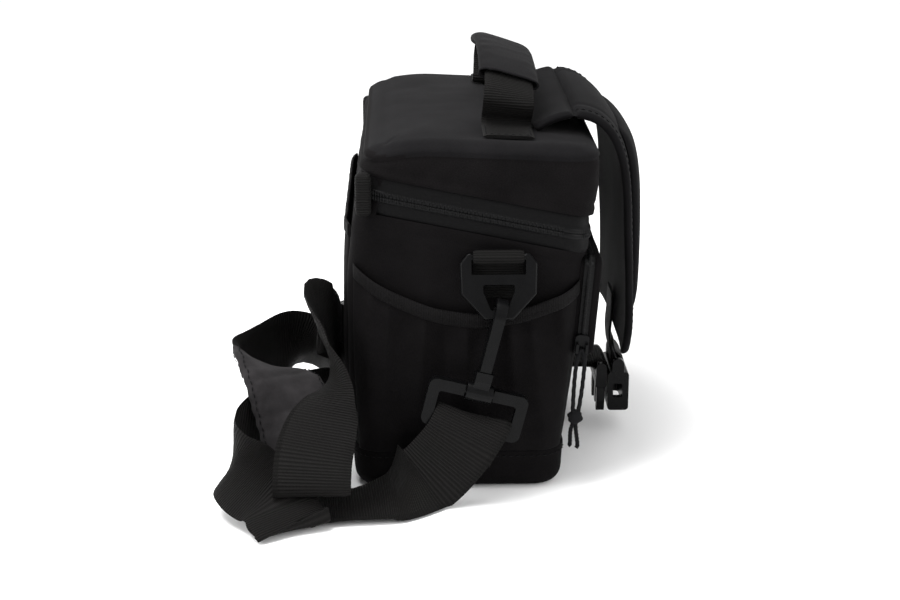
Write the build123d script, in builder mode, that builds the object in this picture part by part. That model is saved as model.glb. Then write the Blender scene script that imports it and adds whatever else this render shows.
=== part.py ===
"""Small padded shoulder bag: a zipped box with a hinged lid, a buckled front flap, pockets and a shoulder strap.

Millimetres. +X runs along the bag's length, -Y is its front (the flap's side) and +Z is up. The origin is on the
surface that the bag stands on, under the middle of its outline. "left" is the -X end and "right" the +X end.
"""
from build123d import *
import math
import os

os.makedirs("parts", exist_ok=True)

# ---- Driving dimensions -------------------------------------------------------------------------------------
HALF_LENGTH = 92.5          # outer face of each end wall
CORNER = 14.0               # upright corners, in plan
BASE_HEIGHT = 21.0          # seam between the base panel and the walls
BASE_ROUND = 8.0            # rounded lower edge of the base
SHELL = 1.2                 # outer fabric with its backing
FOAM = 5.0                  # closed-cell foam in the walls and the lid
LINING = 0.8
GAP = 0.1                   # between layers of one wall
OPENING_CLEARANCE = 0.5     # between the lid and the body along the back

# The walls lean towards the front: height, front wall, back wall, half length
WALL_LINE = (
    (0.0, -53.5, 52.5, 91.5),
    (BASE_HEIGHT, -53.5, 52.5, 91.5),
    (70.0, -58.7, 54.5, HALF_LENGTH),
    (110.0, -61.7, 54.3, HALF_LENGTH),
    (142.0, -67.0, 51.5, HALF_LENGTH),
    (168.0, -69.5, 46.5, HALF_LENGTH),
    (196.0, -69.5, 40.0, HALF_LENGTH),
)

# The lid zip runs in a plane that drops towards the front
ZIP_SLOPE = 0.2
ZIP_MIDDLE = (0.0, -19.0, 143.0)
TAPE = 9.2                  # half of the zip's visible width
COIL = 1.7                  # width of one coil half
COIL_GAP = 0.9              # from the zip's middle to either coil half
ZIP_END_Y = 40.0            # both ends of the zip, near the back corners

# The lid's roof
ROOF_MIDDLE = (0.0, -9.0, 180.5)
ROOF_SLOPE = 0.045
ROOF_ROUND = 8.0

zip_plane = Plane(origin=ZIP_MIDDLE, x_dir=(1, 0, 0), z_dir=(0, -ZIP_SLOPE, 1))
roof_plane = Plane(origin=ROOF_MIDDLE, x_dir=(1, 0, 0), z_dir=(0, -ROOF_SLOPE, 1))


def save(part, name):
    """Labels one finished piece and writes its STEP."""
    part.label = name
    export_step(part, f"parts/{name}.step")


def save_pair(part, name):
    """Writes a left-hand piece and its mirror image at the right end."""
    save(mirror(part, about=Plane.YZ), f"{name}_right")
    save(part, f"{name}_left")


# ---- The box: nested blocks that every layer is cut from -----------------------------------------------------
def bag_block(inset):
    """The bag's outer form with every wall moved in by inset, from the floor to above the roof."""
    outlines = []
    for height, front, back, half in WALL_LINE:
        with BuildSketch(Plane.XY.offset(height)) as outline:
            with Locations((0, (front + back) / 2)):
                RectangleRounded(2 * (half - inset), back - front - 2 * inset, CORNER - inset)
        outlines.append(outline.sketch)
    with BuildPart() as block:
        loft(outlines, ruled=True)
    return block.part


def base_block(inset):
    """The base's outer form, moved in by inset, with its rounded lower edge."""
    _, front, back, half = WALL_LINE[0]
    with BuildPart() as block:
        with BuildSketch(Plane.XY.offset(inset)):
            with Locations((0, (front + back) / 2)):
                RectangleRounded(2 * (half - inset), back - front - 2 * inset, CORNER - inset)
        extrude(amount=BASE_HEIGHT - inset)
        fillet(block.edges().group_by(Axis.Z)[0], radius=BASE_ROUND - inset)
    return block.part


def lid_block(inset):
    """The bag's outer form closed by the roof, moved in by inset, with rounded roof edges."""
    form = bag_block(inset)
    with BuildPart() as block:
        add(form)
        split(bisect_by=roof_plane.offset(-inset), keep=Keep.BOTTOM)
        split(bisect_by=Plane.XY.offset(100), keep=Keep.TOP)
        fillet(block.edges().group_by(Axis.Z)[-1], radius=ROOF_ROUND - inset)
    return block.part


def between(low, high, front=-200.0, back=200.0):
    """A wide slab between two heights above the zip's plane, and between two places along Y."""
    with BuildPart() as slab:
        with BuildSketch(zip_plane.offset(low)):
            Rectangle(400, 400)
        extrude(amount=high - low)
        split(bisect_by=Plane.XZ.offset(-front), keep=Keep.BOTTOM)
        split(bisect_by=Plane.XZ.offset(-back), keep=Keep.TOP)
    return slab.part


outer = bag_block(0)
foam_face = bag_block(SHELL + GAP)
lining_face = bag_block(SHELL + FOAM + 2 * GAP)
room = bag_block(SHELL + FOAM + LINING + 2 * GAP)
proud = bag_block(-COIL / 2)
tape_outside = bag_block(0.2)
tape_inside = bag_block(SHELL)
room_floor = 11.4           # top of the lining's floor
foam_top = -TAPE - 0.8      # the padding stops below the zip, and starts again above it

# ---- Base -----------------------------------------------------------------------------------------------------
base_outside = base_block(0)
base_inside = base_block(1.5)
with BuildPart() as base_panel:
    add(base_outside)
    add(base_inside, mode=Mode.SUBTRACT)
save(base_panel.part, "base_panel")


def floor_layer(bottom, top, inset):
    """One flat layer of the base's padding."""
    _, front, back, half = WALL_LINE[0]
    with BuildPart() as layer:
        with BuildSketch(Plane.XY.offset(bottom)):
            with Locations((0, (front + back) / 2)):
                RectangleRounded(2 * (half - inset), back - front - 2 * inset, CORNER - inset)
        extrude(amount=top - bottom)
    return layer.part


save(floor_layer(1.6, 4.4, 8.4), "base_board")
save(floor_layer(4.5, 10.4, 3.2), "base_foam")

# ---- Walls ----------------------------------------------------------------------------------------------------
below_tape = between(-300, -TAPE - GAP)
below_hinge = between(-300, -OPENING_CLEARANCE, front=ZIP_END_Y + 0.3)
with BuildPart() as body_shell:
    add(below_tape)
    add(below_hinge)
    add(outer, mode=Mode.INTERSECT)
    add(tape_inside, mode=Mode.SUBTRACT)
    split(bisect_by=Plane.XY.offset(BASE_HEIGHT), keep=Keep.TOP)
save(body_shell.part, "body_shell")

below_foam_top = between(-300, foam_top)
with BuildPart() as wall_foam:
    add(foam_face)
    add(lining_face, mode=Mode.SUBTRACT)
    add(below_foam_top, mode=Mode.INTERSECT)
    split(bisect_by=Plane.XY.offset(BASE_HEIGHT + GAP), keep=Keep.TOP)
save(wall_foam.part, "wall_foam")

with BuildPart() as room_above_floor:
    add(room)
    split(bisect_by=Plane.XY.offset(room_floor), keep=Keep.TOP)
with BuildPart() as lining:
    add(lining_face)
    split(bisect_by=Plane.XY.offset(room_floor - LINING), keep=Keep.TOP)
    add(room_above_floor.part, mode=Mode.SUBTRACT)
    add(below_foam_top, mode=Mode.INTERSECT)
save(lining.part, "lining")

DIVIDER_X, DIVIDER_THICK, DIVIDER_TOP = 30.0, 6.0, 112.0
divider_face = bag_block(SHELL + FOAM + LINING + 3 * GAP)
for name, middle in (("divider_left", -DIVIDER_X), ("divider_right", DIVIDER_X)):
    with BuildPart() as divider:
        with BuildSketch(Plane.XY.offset(room_floor + GAP)):
            with Locations((middle, 0)):
                Rectangle(DIVIDER_THICK, 300)
        extrude(amount=DIVIDER_TOP - room_floor)
        add(divider_face, mode=Mode.INTERSECT)
    save(divider.part, name)

# ---- Lid zip: one tape and coil half on the body, the other on the lid ----------------------------------------
for name, side in (("zip_tape_body", -1), ("zip_tape_lid", 1)):
    tape_band = between(*sorted((side * COIL_GAP, side * TAPE)), back=ZIP_END_Y)
    coil_band = between(*sorted((side * COIL_GAP, side * (COIL_GAP + COIL))), back=ZIP_END_Y)
    with BuildPart() as coil:
        add(proud)
        add(tape_inside, mode=Mode.SUBTRACT)
        add(coil_band, mode=Mode.INTERSECT)
    with BuildPart() as tape:
        add(tape_outside)
        add(tape_inside, mode=Mode.SUBTRACT)
        add(tape_band, mode=Mode.INTERSECT)
        add(coil.part)
    save(tape.part, name)

# Round piping on the back edge, where the lid folds; its middle is the lid's axis
HINGE_Y = 51.4
HINGE_Z = ZIP_MIDDLE[2] + ZIP_SLOPE * (HINGE_Y - ZIP_MIDDLE[1])
with BuildPart() as hinge_piping:
    with BuildSketch(Plane.YZ.offset(-70)):
        with Locations((HINGE_Y, HINGE_Z)):
            Circle(1.0)
    extrude(amount=140)
save(hinge_piping.part, "hinge_piping")

# A folded webbing tab covers each end of the zip
with BuildPart() as zip_end_tab:
    with BuildSketch(Plane.YZ.offset(-HALF_LENGTH - 4.2)):
        with Locations((46.0, 156.0)):
            RectangleRounded(7.5, 22.0, 1.0)
    extrude(amount=3.2)
    with BuildSketch(Plane.YZ.offset(-HALF_LENGTH - 1.2)):
        with Locations((42.0, 147.5)):
            Rectangle(5.0, 5.0)
    extrude(amount=2.0)
    add(outer, mode=Mode.SUBTRACT)
save_pair(zip_end_tab.part, "zip_end_tab")

# ---- Lid ------------------------------------------------------------------------------------------------------
above_tape = between(TAPE + GAP, 300)
above_hinge = between(OPENING_CLEARANCE, 300, front=ZIP_END_Y + 0.3)
above_foam = between(-foam_top, 300)
lid_outside = lid_block(0)
lid_layers = [lid_block(inset) for inset in (SHELL, SHELL + GAP, SHELL + FOAM, SHELL + FOAM + GAP)]
lid_room = lid_block(SHELL + FOAM + LINING + GAP)
with BuildPart() as lid_shell:
    add(above_tape)
    add(above_hinge)
    add(lid_outside, mode=Mode.INTERSECT)
    add(lid_layers[0], mode=Mode.SUBTRACT)
save(lid_shell.part, "lid_shell")
with BuildPart() as lid_foam:
    add(lid_layers[1])
    add(lid_layers[2], mode=Mode.SUBTRACT)
    add(above_foam, mode=Mode.INTERSECT)
save(lid_foam.part, "lid_foam")
with BuildPart() as lid_lining:
    add(lid_layers[3])
    add(lid_room, mode=Mode.SUBTRACT)
    add(above_foam, mode=Mode.INTERSECT)
save(lid_lining.part, "lid_lining")

# ---- Lid zip sliders, closed together on the right end wall ----------------------------------------------------
SLIDER_LONG, SLIDER_WIDE = 12.0, 8.0
SLIDERS_MEET_Y = -5.0
slider_z = ZIP_MIDDLE[2] + ZIP_SLOPE * (SLIDERS_MEET_Y - ZIP_MIDDLE[1])
track = Plane(origin=(HALF_LENGTH, SLIDERS_MEET_Y, slider_z), x_dir=(0, 1, ZIP_SLOPE), z_dir=(1, 0, 0))
for name, side in (("lid_slider_rear", 1), ("lid_slider_front", -1)):
    middle = side * (SLIDER_LONG / 2 + 1.0)
    with BuildPart() as slider:
        with BuildSketch(track.offset(1.3)):
            with Locations((middle, 0)):
                RectangleRounded(SLIDER_LONG, SLIDER_WIDE, 2.0)
        extrude(amount=1.4)
        with BuildSketch(track.offset(-2.8)):
            with Locations((middle, 0)):
                RectangleRounded(SLIDER_LONG, SLIDER_WIDE, 2.0)
        extrude(amount=1.2)
        with BuildSketch(track.offset(-2.8)):
            with Locations((middle - side * 3.5, 0)):
                Rectangle(3.0, 0.9)
        extrude(amount=5.0)
        with BuildSketch(track.offset(2.6)):
            with Locations((middle, 2.6), (middle, -2.6)):
                RectangleRounded(7.0, 1.6, 0.7)
        extrude(amount=3.2)
    save(slider.part, name)
    with BuildPart() as pull:
        with BuildSketch(track.offset(4.2)):
            with Locations((middle + side * 10.0, 0)):
                RectangleRounded(22.0, 5.6, 2.4)
            with Locations((middle, 0)):
                Rectangle(8.0, 8.0, mode=Mode.SUBTRACT)
            with Locations((middle + side * 4.5, 0)):
                Rectangle(9.0, 2.8)
            with Locations((middle + side * 17.5, 0)):
                Circle(1.3, mode=Mode.SUBTRACT)
        extrude(amount=1.4)
    save(pull.part, name.replace("slider", "pull"))

# ---- Side pockets -----------------------------------------------------------------------------------------------
POCKET_DEPTH = 4.0
POCKET_FRONT = ((-50.0, 22.2), (-54.0, 70.0), (-57.0, 110.0))
POCKET_BACK = ((50.5, 120.0), (50.0, 70.0), (48.5, 22.2))
MOUTH_LOW = (-6.0, 97.0)
BINDING_TALL = 7.0


def pocket_prism(shrink, mouth_drop):
    """A slab through the left end wall with the side pocket's outline, for cutting shells with."""
    front = [(y + shrink, z + (shrink if z < 30 else -mouth_drop if z > 100 else 0)) for y, z in POCKET_FRONT]
    back = [(y - shrink, z + (shrink if z < 30 else -mouth_drop if z > 100 else 0)) for y, z in POCKET_BACK]
    with BuildPart() as prism:
        with BuildSketch(Plane.YZ.offset(-120)):
            with BuildLine():
                Polyline(*front)
                ThreePointArc(front[-1], (MOUTH_LOW[0], MOUTH_LOW[1] - mouth_drop), back[0])
                Polyline(*back)
                Line(back[-1], front[0])
            make_face()
        extrude(amount=60)
    return prism.part


pocket_outside = bag_block(-POCKET_DEPTH)
pocket_inside = bag_block(-POCKET_DEPTH + 1.4)
binding_outside = bag_block(-POCKET_DEPTH - 0.8)
binding_inside = bag_block(-POCKET_DEPTH + 2.0)
wall_clear = bag_block(-0.05)
binding_drop = BINDING_TALL + GAP
with BuildPart() as pocket_hollow:
    add(pocket_inside)
    add(pocket_prism(1.4, -20), mode=Mode.INTERSECT)
with BuildPart() as side_pocket:
    add(pocket_outside)
    add(pocket_prism(0, binding_drop), mode=Mode.INTERSECT)
    add(pocket_hollow.part, mode=Mode.SUBTRACT)
    add(wall_clear, mode=Mode.SUBTRACT)
save_pair(side_pocket.part, "side_pocket")
with BuildPart() as side_binding:
    add(binding_outside)
    add(pocket_prism(0, 0), mode=Mode.INTERSECT)
    add(pocket_prism(0, BINDING_TALL), mode=Mode.SUBTRACT)
    add(binding_inside, mode=Mode.SUBTRACT)
save_pair(side_binding.part, "side_pocket_binding")

# ---- Back pocket: a slip pocket with an elastic edge -------------------------------------------------------------
BACK_HALF, BACK_BOTTOM, BACK_TOP = 76.0, 24.0, 137.0


def back_prism(shrink, bottom, top):
    """A slab through the back wall with the back pocket's outline."""
    with BuildPart() as prism:
        with BuildSketch(Plane.XZ.offset(-20)):
            with Locations((0, (bottom + top) / 2)):
                Rectangle(2 * (BACK_HALF - shrink), top - bottom)
        extrude(amount=-60)
    return prism.part


with BuildPart() as back_hollow:
    add(pocket_inside)
    add(back_prism(1.4, BACK_BOTTOM + 1.4, BACK_TOP + 10), mode=Mode.INTERSECT)
with BuildPart() as back_pocket:
    add(pocket_outside)
    add(back_prism(0, BACK_BOTTOM, BACK_TOP - binding_drop), mode=Mode.INTERSECT)
    add(back_hollow.part, mode=Mode.SUBTRACT)
    add(wall_clear, mode=Mode.SUBTRACT)
save(back_pocket.part, "back_pocket")
with BuildPart() as back_binding:
    add(binding_outside)
    add(back_prism(0, BACK_TOP - BINDING_TALL, BACK_TOP), mode=Mode.INTERSECT)
    add(binding_inside, mode=Mode.SUBTRACT)
save(back_binding.part, "back_pocket_binding")

# ---- Front pocket, with a zip round its gusset -------------------------------------------------------------------
front_plane = Plane(origin=(0, -63.5, 95), x_dir=(1, 0, 0), z_dir=(0, -1, -0.075))
FRONT_HALF, FRONT_TALL, FRONT_OUT, FRONT_IN = 86.0, 52.0, 6.5, 12.0
with BuildPart() as front_pocket:
    with BuildSketch(front_plane.offset(-FRONT_IN)):
        RectangleRounded(2 * FRONT_HALF, FRONT_TALL, 4.0)
    extrude(amount=FRONT_OUT + FRONT_IN)
    fillet(front_pocket.faces().sort_by(Axis.Y)[0].edges(), radius=2.0)
    with BuildSketch(front_plane.offset(-FRONT_IN)):
        RectangleRounded(2 * FRONT_HALF - 2.8, FRONT_TALL - 2.8, 3.0)
    extrude(amount=FRONT_OUT + FRONT_IN - 1.4, mode=Mode.SUBTRACT)
    add(wall_clear, mode=Mode.SUBTRACT)
front_piece = front_pocket.part.solids().sort_by(SortBy.VOLUME)[-1]
save(Part(front_piece.wrapped), "front_pocket")

ZIP_FOOT = -24.0            # both ends of the pocket's zip, below the middle of the front plane
with BuildPart() as front_zip:
    with BuildSketch(front_plane.offset(-3.2)):
        Rectangle(2 * FRONT_HALF + 2.0, FRONT_TALL + 2.0)
        RectangleRounded(2 * FRONT_HALF + 0.1, FRONT_TALL + 0.1, 4.0, mode=Mode.SUBTRACT)
        with Locations((0, -40)):
            Rectangle(400, 2 * (40 + ZIP_FOOT), mode=Mode.SUBTRACT)
    extrude(amount=6.4)
    add(wall_clear, mode=Mode.SUBTRACT)
save(front_zip.part, "front_pocket_zip")

gusset = Plane(origin=front_plane.from_local_coords((-FRONT_HALF - 1.0, -19.0, 0)),
               x_dir=(0, -1, -0.075), z_dir=(-1, 0, 0))
with BuildPart() as front_slider:
    with BuildSketch(gusset.offset(0.3)):
        RectangleRounded(7.0, 11.0, 2.0)
    extrude(amount=1.3)
    with BuildSketch(gusset.offset(1.5)):
        with Locations((2.4, -1.0), (-2.4, -1.0)):
            RectangleRounded(1.4, 5.0, 0.6)
    extrude(amount=3.0)
save(front_slider.part, "front_slider")
PULL_LONG = 33.0
with BuildPart() as front_pull:
    with BuildSketch(gusset.offset(2.2)):
        with Locations((0, -3.4)):
            SlotOverall(5.4, 2.2, rotation=90)
    extrude(amount=2.0)
    with BuildSketch(gusset.offset(2.4)):
        with Locations((0, -4.0 - PULL_LONG / 2)):
            SlotOverall(PULL_LONG, 5.6, rotation=90)
            SlotOverall(PULL_LONG - 5.2, 1.2, rotation=90, mode=Mode.SUBTRACT)
    extrude(amount=2.2)
    with BuildSketch(gusset.offset(0.4)):
        with Locations((0, -4.0 - PULL_LONG)):
            RectangleRounded(8.0, 8.5, 3.0)
    extrude(amount=6.4)
    with BuildSketch(gusset.offset(2.4)):
        with Locations((-1.5, -12.0 - PULL_LONG), (1.7, -11.0 - PULL_LONG)):
            SlotOverall(9.0, 2.2, rotation=80)
    extrude(amount=2.2)
save(front_pull.part, "front_pull")

# ---- Handle on the lid ------------------------------------------------------------------------------------------
HANDLE_Y, HANDLE_WIDE = -25.0, 25.0
roof_at_handle = ROOF_MIDDLE[2] + ROOF_SLOPE * (HANDLE_Y - ROOF_MIDDLE[1])
handle_plane = Plane(origin=(0, HANDLE_Y, roof_at_handle + 0.1), x_dir=(1, 0, 0), z_dir=(0, -1, -0.2))


def arc_radii(points):
    """The largest arc for each corner of a route: 0.45 of its shorter run, over the tangent of half its turn."""
    corners = [Vector(*point) for point in points]
    radii = []
    for before, corner, after in zip(corners, corners[1:], corners[2:]):
        into, out = corner - before, after - corner
        half_turn = math.radians(into.get_angle(out)) / 2
        radii.append(0.45 * min(into.length, out.length) / math.tan(half_turn))
    return radii


def strip(plane, points, thickness, width):
    """A strip of even thickness along rounded runs in plane, as wide as width and centred on the plane."""
    with BuildPart() as piece:
        with BuildSketch(plane.offset(-width / 2)):
            with BuildLine():
                FilletPolyline(*points, radius=arc_radii(points))
                offset(amount=thickness / 2, side=Side.BOTH)
            make_face()
        extrude(amount=width)
    return piece.part


ROOF_PLANE_HANDLE = Plane(origin=handle_plane.origin, x_dir=(1, 0, 0), z_dir=(0, -1, -ROOF_SLOPE))
arch = ((-53, 1.3), (-62, 12), (-50, 22.5), (-20, 28), (20, 28), (50, 22.5), (62, 12), (53, 1.3))
lid_solid = lid_block(-GAP)
with BuildPart() as handle_webbing:
    add(strip(handle_plane, arch, 1.8, HANDLE_WIDE))
    for side in (-1, 1):
        with BuildSketch(ROOF_PLANE_HANDLE.offset(-HANDLE_WIDE / 2)):
            with Locations((side * 65.5, 1.2)):
                Rectangle(29.0, 2.2)
        extrude(amount=HANDLE_WIDE)
    add(lid_solid, mode=Mode.SUBTRACT)
save(handle_webbing.part, "handle_webbing")
with BuildPart() as handle_wrap:
    add(strip(handle_plane, arch[2:-2], 6.4, HANDLE_WIDE + 7.0))
    add(strip(handle_plane, arch, 2.0, HANDLE_WIDE + 0.4), mode=Mode.SUBTRACT)
save(handle_wrap.part, "handle_wrap")

# ---- Flap -------------------------------------------------------------------------------------------------------
FLAP_HALF, FLAP_THICK = 66.0, 5.0
flap_line = ((-42.5, 184.0), (-50, 187.0), (-62, 188.5), (-74, 183), (-82, 168), (-86, 148), (-87, 124),
             (-88.5, 100), (-90, 78), (-89, 58))
with BuildPart() as flap:
    add(strip(Plane.YZ, flap_line, FLAP_THICK, 2 * FLAP_HALF))
    with BuildSketch(Plane.XZ.offset(70)):
        with Locations((0, 125)):
            Rectangle(400, 136)
        with Locations((0, 130)):
            RectangleRounded(2 * FLAP_HALF, 148, 16, mode=Mode.SUBTRACT)
    extrude(amount=40, mode=Mode.SUBTRACT)
save(flap.part, "flap")
dome_line = ((-70, 191.8), (-80.2, 186.4), (-88.5, 169.5), (-92.0, 149), (-93.0, 124), (-94.5, 100), (-96.0, 80))
with BuildPart() as flap_pocket:
    add(strip(Plane.YZ, dome_line, 6.6, 92.0))
    add(flap.part, mode=Mode.SUBTRACT)
save(flap_pocket.part, "flap_pocket")

# ---- D-rings on the end walls, and the hooks that join the shoulder strap to them -------------------------------
RING_Y, RING_AXIS_X, RING_AXIS_Z = -19.5, -96.6, 125.0
TAB_WIDE, BAR_RADIUS, RUNNING = 25.0, 1.9, 0.3
RING_TILT, HOOK_LEAN = math.radians(20), math.radians(14)

with BuildPart() as ring_tab:
    with BuildSketch(Plane.XZ.offset(-RING_Y - TAB_WIDE / 2)):
        with Locations((RING_AXIS_X, RING_AXIS_Z)):
            Circle(BAR_RADIUS + RUNNING + 1.6)
        with Locations((-93.95, 114.0)):
            Rectangle(2.7, 20.0)
        with Locations((RING_AXIS_X, RING_AXIS_Z)):
            Circle(BAR_RADIUS + RUNNING, mode=Mode.SUBTRACT)
    extrude(amount=TAB_WIDE)
save_pair(ring_tab.part, "ring_tab")

ring_plane = Plane(origin=(RING_AXIS_X, RING_Y, RING_AXIS_Z), x_dir=(0, -1, 0),
                   z_dir=(-math.cos(RING_TILT), 0, math.sin(RING_TILT)))
with BuildPart() as d_ring:
    with BuildSketch(ring_plane.offset(-2.0)) as ring_outline:
        with BuildLine():
            Polyline((-15, 2), (15, 2), (19, -3), (18.5, -18), (7, -30.5), (-7, -30.5), (-18.5, -18), (-19, -3),
                     close=True)
        make_face()
        fillet(ring_outline.vertices(), radius=2.0)
        with BuildLine():
            FilletPolyline((-7.75, -13.5), (7.75, -13.5), (7.75, -17), (4, -26), (-4, -26), (-7.75, -17), close=True,
                           radius=1.2)
        make_face(mode=Mode.SUBTRACT)
        with Locations((0, -2.3)):
            Rectangle(TAB_WIDE + 1.6, 12.6, mode=Mode.SUBTRACT)
    extrude(amount=4.0)
    foot = d_ring.edges().filter_by(Axis.Y).group_by(Axis.Z)[0] + d_ring.edges().filter_by(Axis.Y).group_by(Axis.Z)[1]
    fillet(foot, radius=1.2)
    with BuildSketch(Plane.XZ.offset(-RING_Y - 14.5)):
        with Locations((RING_AXIS_X, RING_AXIS_Z)):
            Circle(BAR_RADIUS)
    extrude(amount=29.0)
save_pair(d_ring.part, "d_ring")

# The hook hangs from the ring's lower bar; its sleeve turns on the round middle of the strap's loop
HOOK_EYE = (-106.3, RING_Y, 98.4)
hook_plane = Plane(origin=HOOK_EYE, x_dir=(-1, 0, 0), z_dir=(0, math.cos(HOOK_LEAN), math.sin(HOOK_LEAN)))
SLEEVE = (3.0, -40.0)
GATE_PIVOT = (-0.6, -32.5)
with BuildPart() as hook:
    with BuildSketch(hook_plane.offset(-2.75)):
        with Locations((0, 0)):
            Circle(8.2)
            Circle(4.4, mode=Mode.SUBTRACT)
        with Locations((-6, -12)):
            Rectangle(20, 17, mode=Mode.SUBTRACT)
        with BuildLine():
            Polyline((4.0, 0.5), (8.1, 0.5), (8.1, -24), (7.4, -31), (3.9, -31), (4.0, -12), close=True)
        make_face()
    extrude(amount=5.5)
    with BuildSketch(hook_plane.offset(-4.0)):
        with BuildLine():
            Polyline((3.9, -28.0), (8.4, -28.0), (8.2, -33), (6.5, -37.5), (1.4, -37.5), (1.6, -34.0), close=True)
        make_face()
    extrude(amount=8.0)
    for level in (-4.0, 2.8):
        with BuildSketch(hook_plane.offset(level)):
            with Locations(GATE_PIVOT):
                Circle(1.9)
            with BuildLine():
                Polyline((-0.6, -30.6), (4.5, -30.0), (4.5, -35.0), (-0.6, -34.4), close=True)
            make_face()
        extrude(amount=1.2)
    with BuildSketch(hook_plane.offset(-3.5)):
        with Locations(GATE_PIVOT):
            Circle(0.8)
    extrude(amount=7.0)
    with BuildSketch(hook_plane.offset(-6.5)):
        with Locations(SLEEVE):
            Circle(4.7)
    extrude(amount=13.0)
    with BuildSketch(hook_plane.offset(-10)):
        with Locations(SLEEVE):
            Circle(2.8)
    extrude(amount=20.0, mode=Mode.SUBTRACT)
save_pair(hook.part, "hook")

# Its gate pivots low on the shank and closes against the tip of the hook
with BuildPart() as hook_gate:
    with BuildSketch(hook_plane.offset(-2.5)):
        with BuildLine():
            Polyline(GATE_PIVOT, (-5.6, -5.2))
            offset(amount=1.1, side=Side.BOTH)
        make_face()
        with Locations(GATE_PIVOT):
            Circle(1.9)
            Circle(0.95, mode=Mode.SUBTRACT)
    extrude(amount=5.0)
save_pair(hook_gate.part, "hook_gate")

# ---- Loops that the strap's webbing is sewn round ---------------------------------------------------------------
sleeve_point = hook_plane.from_local_coords((SLEEVE[0], SLEEVE[1], 0))
loop_plane = Plane(origin=sleeve_point, x_dir=(0, -math.cos(HOOK_LEAN), -math.sin(HOOK_LEAN)), z_dir=(-1, 0, 0))
with BuildPart() as strap_loop:
    with BuildSketch(loop_plane.offset(-2.5)):
        with Locations((0, -9.0)):
            RectangleRounded(50.0, 24.5, 4.0)
        with Locations((0, -9.85)):
            RectangleRounded(39.0, 14.5, 1.5, mode=Mode.SUBTRACT)
        with Locations((0, 2.0)):
            Rectangle(14.4, 12.0, mode=Mode.SUBTRACT)
    extrude(amount=5.0)
    with BuildSketch(Plane(origin=sleeve_point, x_dir=(1, 0, 0), z_dir=loop_plane.x_dir).offset(-8.0)):
        Circle(2.5)
    extrude(amount=16.0)
save_pair(strap_loop.part, "strap_loop")

# ---- Buckle: unfastened, with its socket on the flap's webbing and its prongs on the wall's ---------------------
SOCKET_BAR = (-90.0, 39.5)
with BuildPart() as buckle_socket:
    with BuildSketch(Plane.YZ.offset(-17.0)) as socket_side:
        with Locations((-90.25, 24.0)):
            RectangleRounded(11.5, 22.0, 2.0)
    extrude(amount=34.0)
    with BuildSketch(Plane.XY.offset(12.0)):
        with Locations((0, -90.0)):
            RectangleRounded(26.0, 7.6, 2.0)
    extrude(amount=20.0, mode=Mode.SUBTRACT)
    with BuildSketch(Plane.YZ.offset(-20.0)):
        with Locations((-90.0, 24.5)):
            RectangleRounded(5.0, 8.0, 1.0)
    extrude(amount=40.0, mode=Mode.SUBTRACT)
    for side in (-1, 1):
        with BuildSketch(Plane.YZ.offset(side * 13.3)):
            with Locations(SOCKET_BAR):
                Circle(3.2)
            with Locations((SOCKET_BAR[0], 35.5)):
                Rectangle(6.4, 8.0)
        extrude(amount=side * 3.7)
    with BuildSketch(Plane.YZ.offset(-14.0)):
        with Locations(SOCKET_BAR):
            Circle(1.6)
    extrude(amount=28.0)
save(buckle_socket.part, "buckle_socket")

PLUG_BAR = (-81.0, 37.0)
PRONG_PIVOT_X, PRONG_PIVOT_Z = 11.5, 24.2
with BuildPart() as buckle_plug:
    with BuildSketch(Plane.YZ.offset(-15.0)):
        with Locations((PLUG_BAR[0], 29.2)):
            RectangleRounded(6.0, 7.4, 1.4)
    extrude(amount=30.0)
    for side in (-1, 1):
        with BuildSketch(Plane.YZ.offset(side * 13.3)):
            with Locations(PLUG_BAR):
                Circle(2.9)
            with Locations((PLUG_BAR[0], 34.0)):
                Rectangle(5.8, 6.0)
        extrude(amount=side * 2.7)
    with BuildSketch(Plane.YZ.offset(-14.0)):
        with Locations(PLUG_BAR):
            Circle(1.6)
    extrude(amount=28.0)
    with BuildSketch(Plane.XZ.offset(-PLUG_BAR[0] - 1.8)):
        with Locations((0, 20.0)):
            RectangleRounded(6.0, 16.0, 2.0)
    extrude(amount=3.6)
save(buckle_plug.part, "buckle_plug")

with BuildPart() as prong:
    with BuildSketch(Plane.XZ.offset(-PLUG_BAR[0] - 2.2)):
        with BuildLine():
            Polyline((-10.0, 25.1), (-13.4, 25.1), (-14.2, 17.0), (-12.2, 11.2), (-9.6, 11.2), (-9.2, 18.0),
                     close=True)
        make_face()
    extrude(amount=4.4)
    fillet(prong.edges().filter_by(Axis.Y), radius=0.6)
save_pair(prong.part, "buckle_prong")

# Webbing that holds the two halves
with BuildPart() as flap_webbing:
    add(strip(Plane.YZ, ((-85.7, 76), (-85.1, 58), (-87.2, 47), (-88.2, 42.2)), 1.6, 25.0))
    with BuildSketch(Plane.YZ.offset(-12.5)):
        with Locations(SOCKET_BAR):
            Circle(3.5)
    extrude(amount=25.0)
    with BuildSketch(Plane.YZ.offset(-13.0)):
        with Locations(SOCKET_BAR):
            Circle(1.9)
    extrude(amount=26.0, mode=Mode.SUBTRACT)
save(flap_webbing.part, "flap_webbing")
with BuildPart() as wall_webbing:
    with BuildSketch(Plane.YZ.offset(-12.5)):
        with Locations((-68.3, 38.6)):
            Rectangle(23.0, 1.6)
        with Locations((-57.1, 41.0)):
            Rectangle(1.6, 6.0)
        with Locations(PLUG_BAR):
            Circle(3.5)
    extrude(amount=25.0)
    with BuildSketch(Plane.YZ.offset(-13.0)):
        with Locations(PLUG_BAR):
            Circle(1.9)
    extrude(amount=26.0, mode=Mode.SUBTRACT)
save(wall_webbing.part, "wall_webbing")

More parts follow.
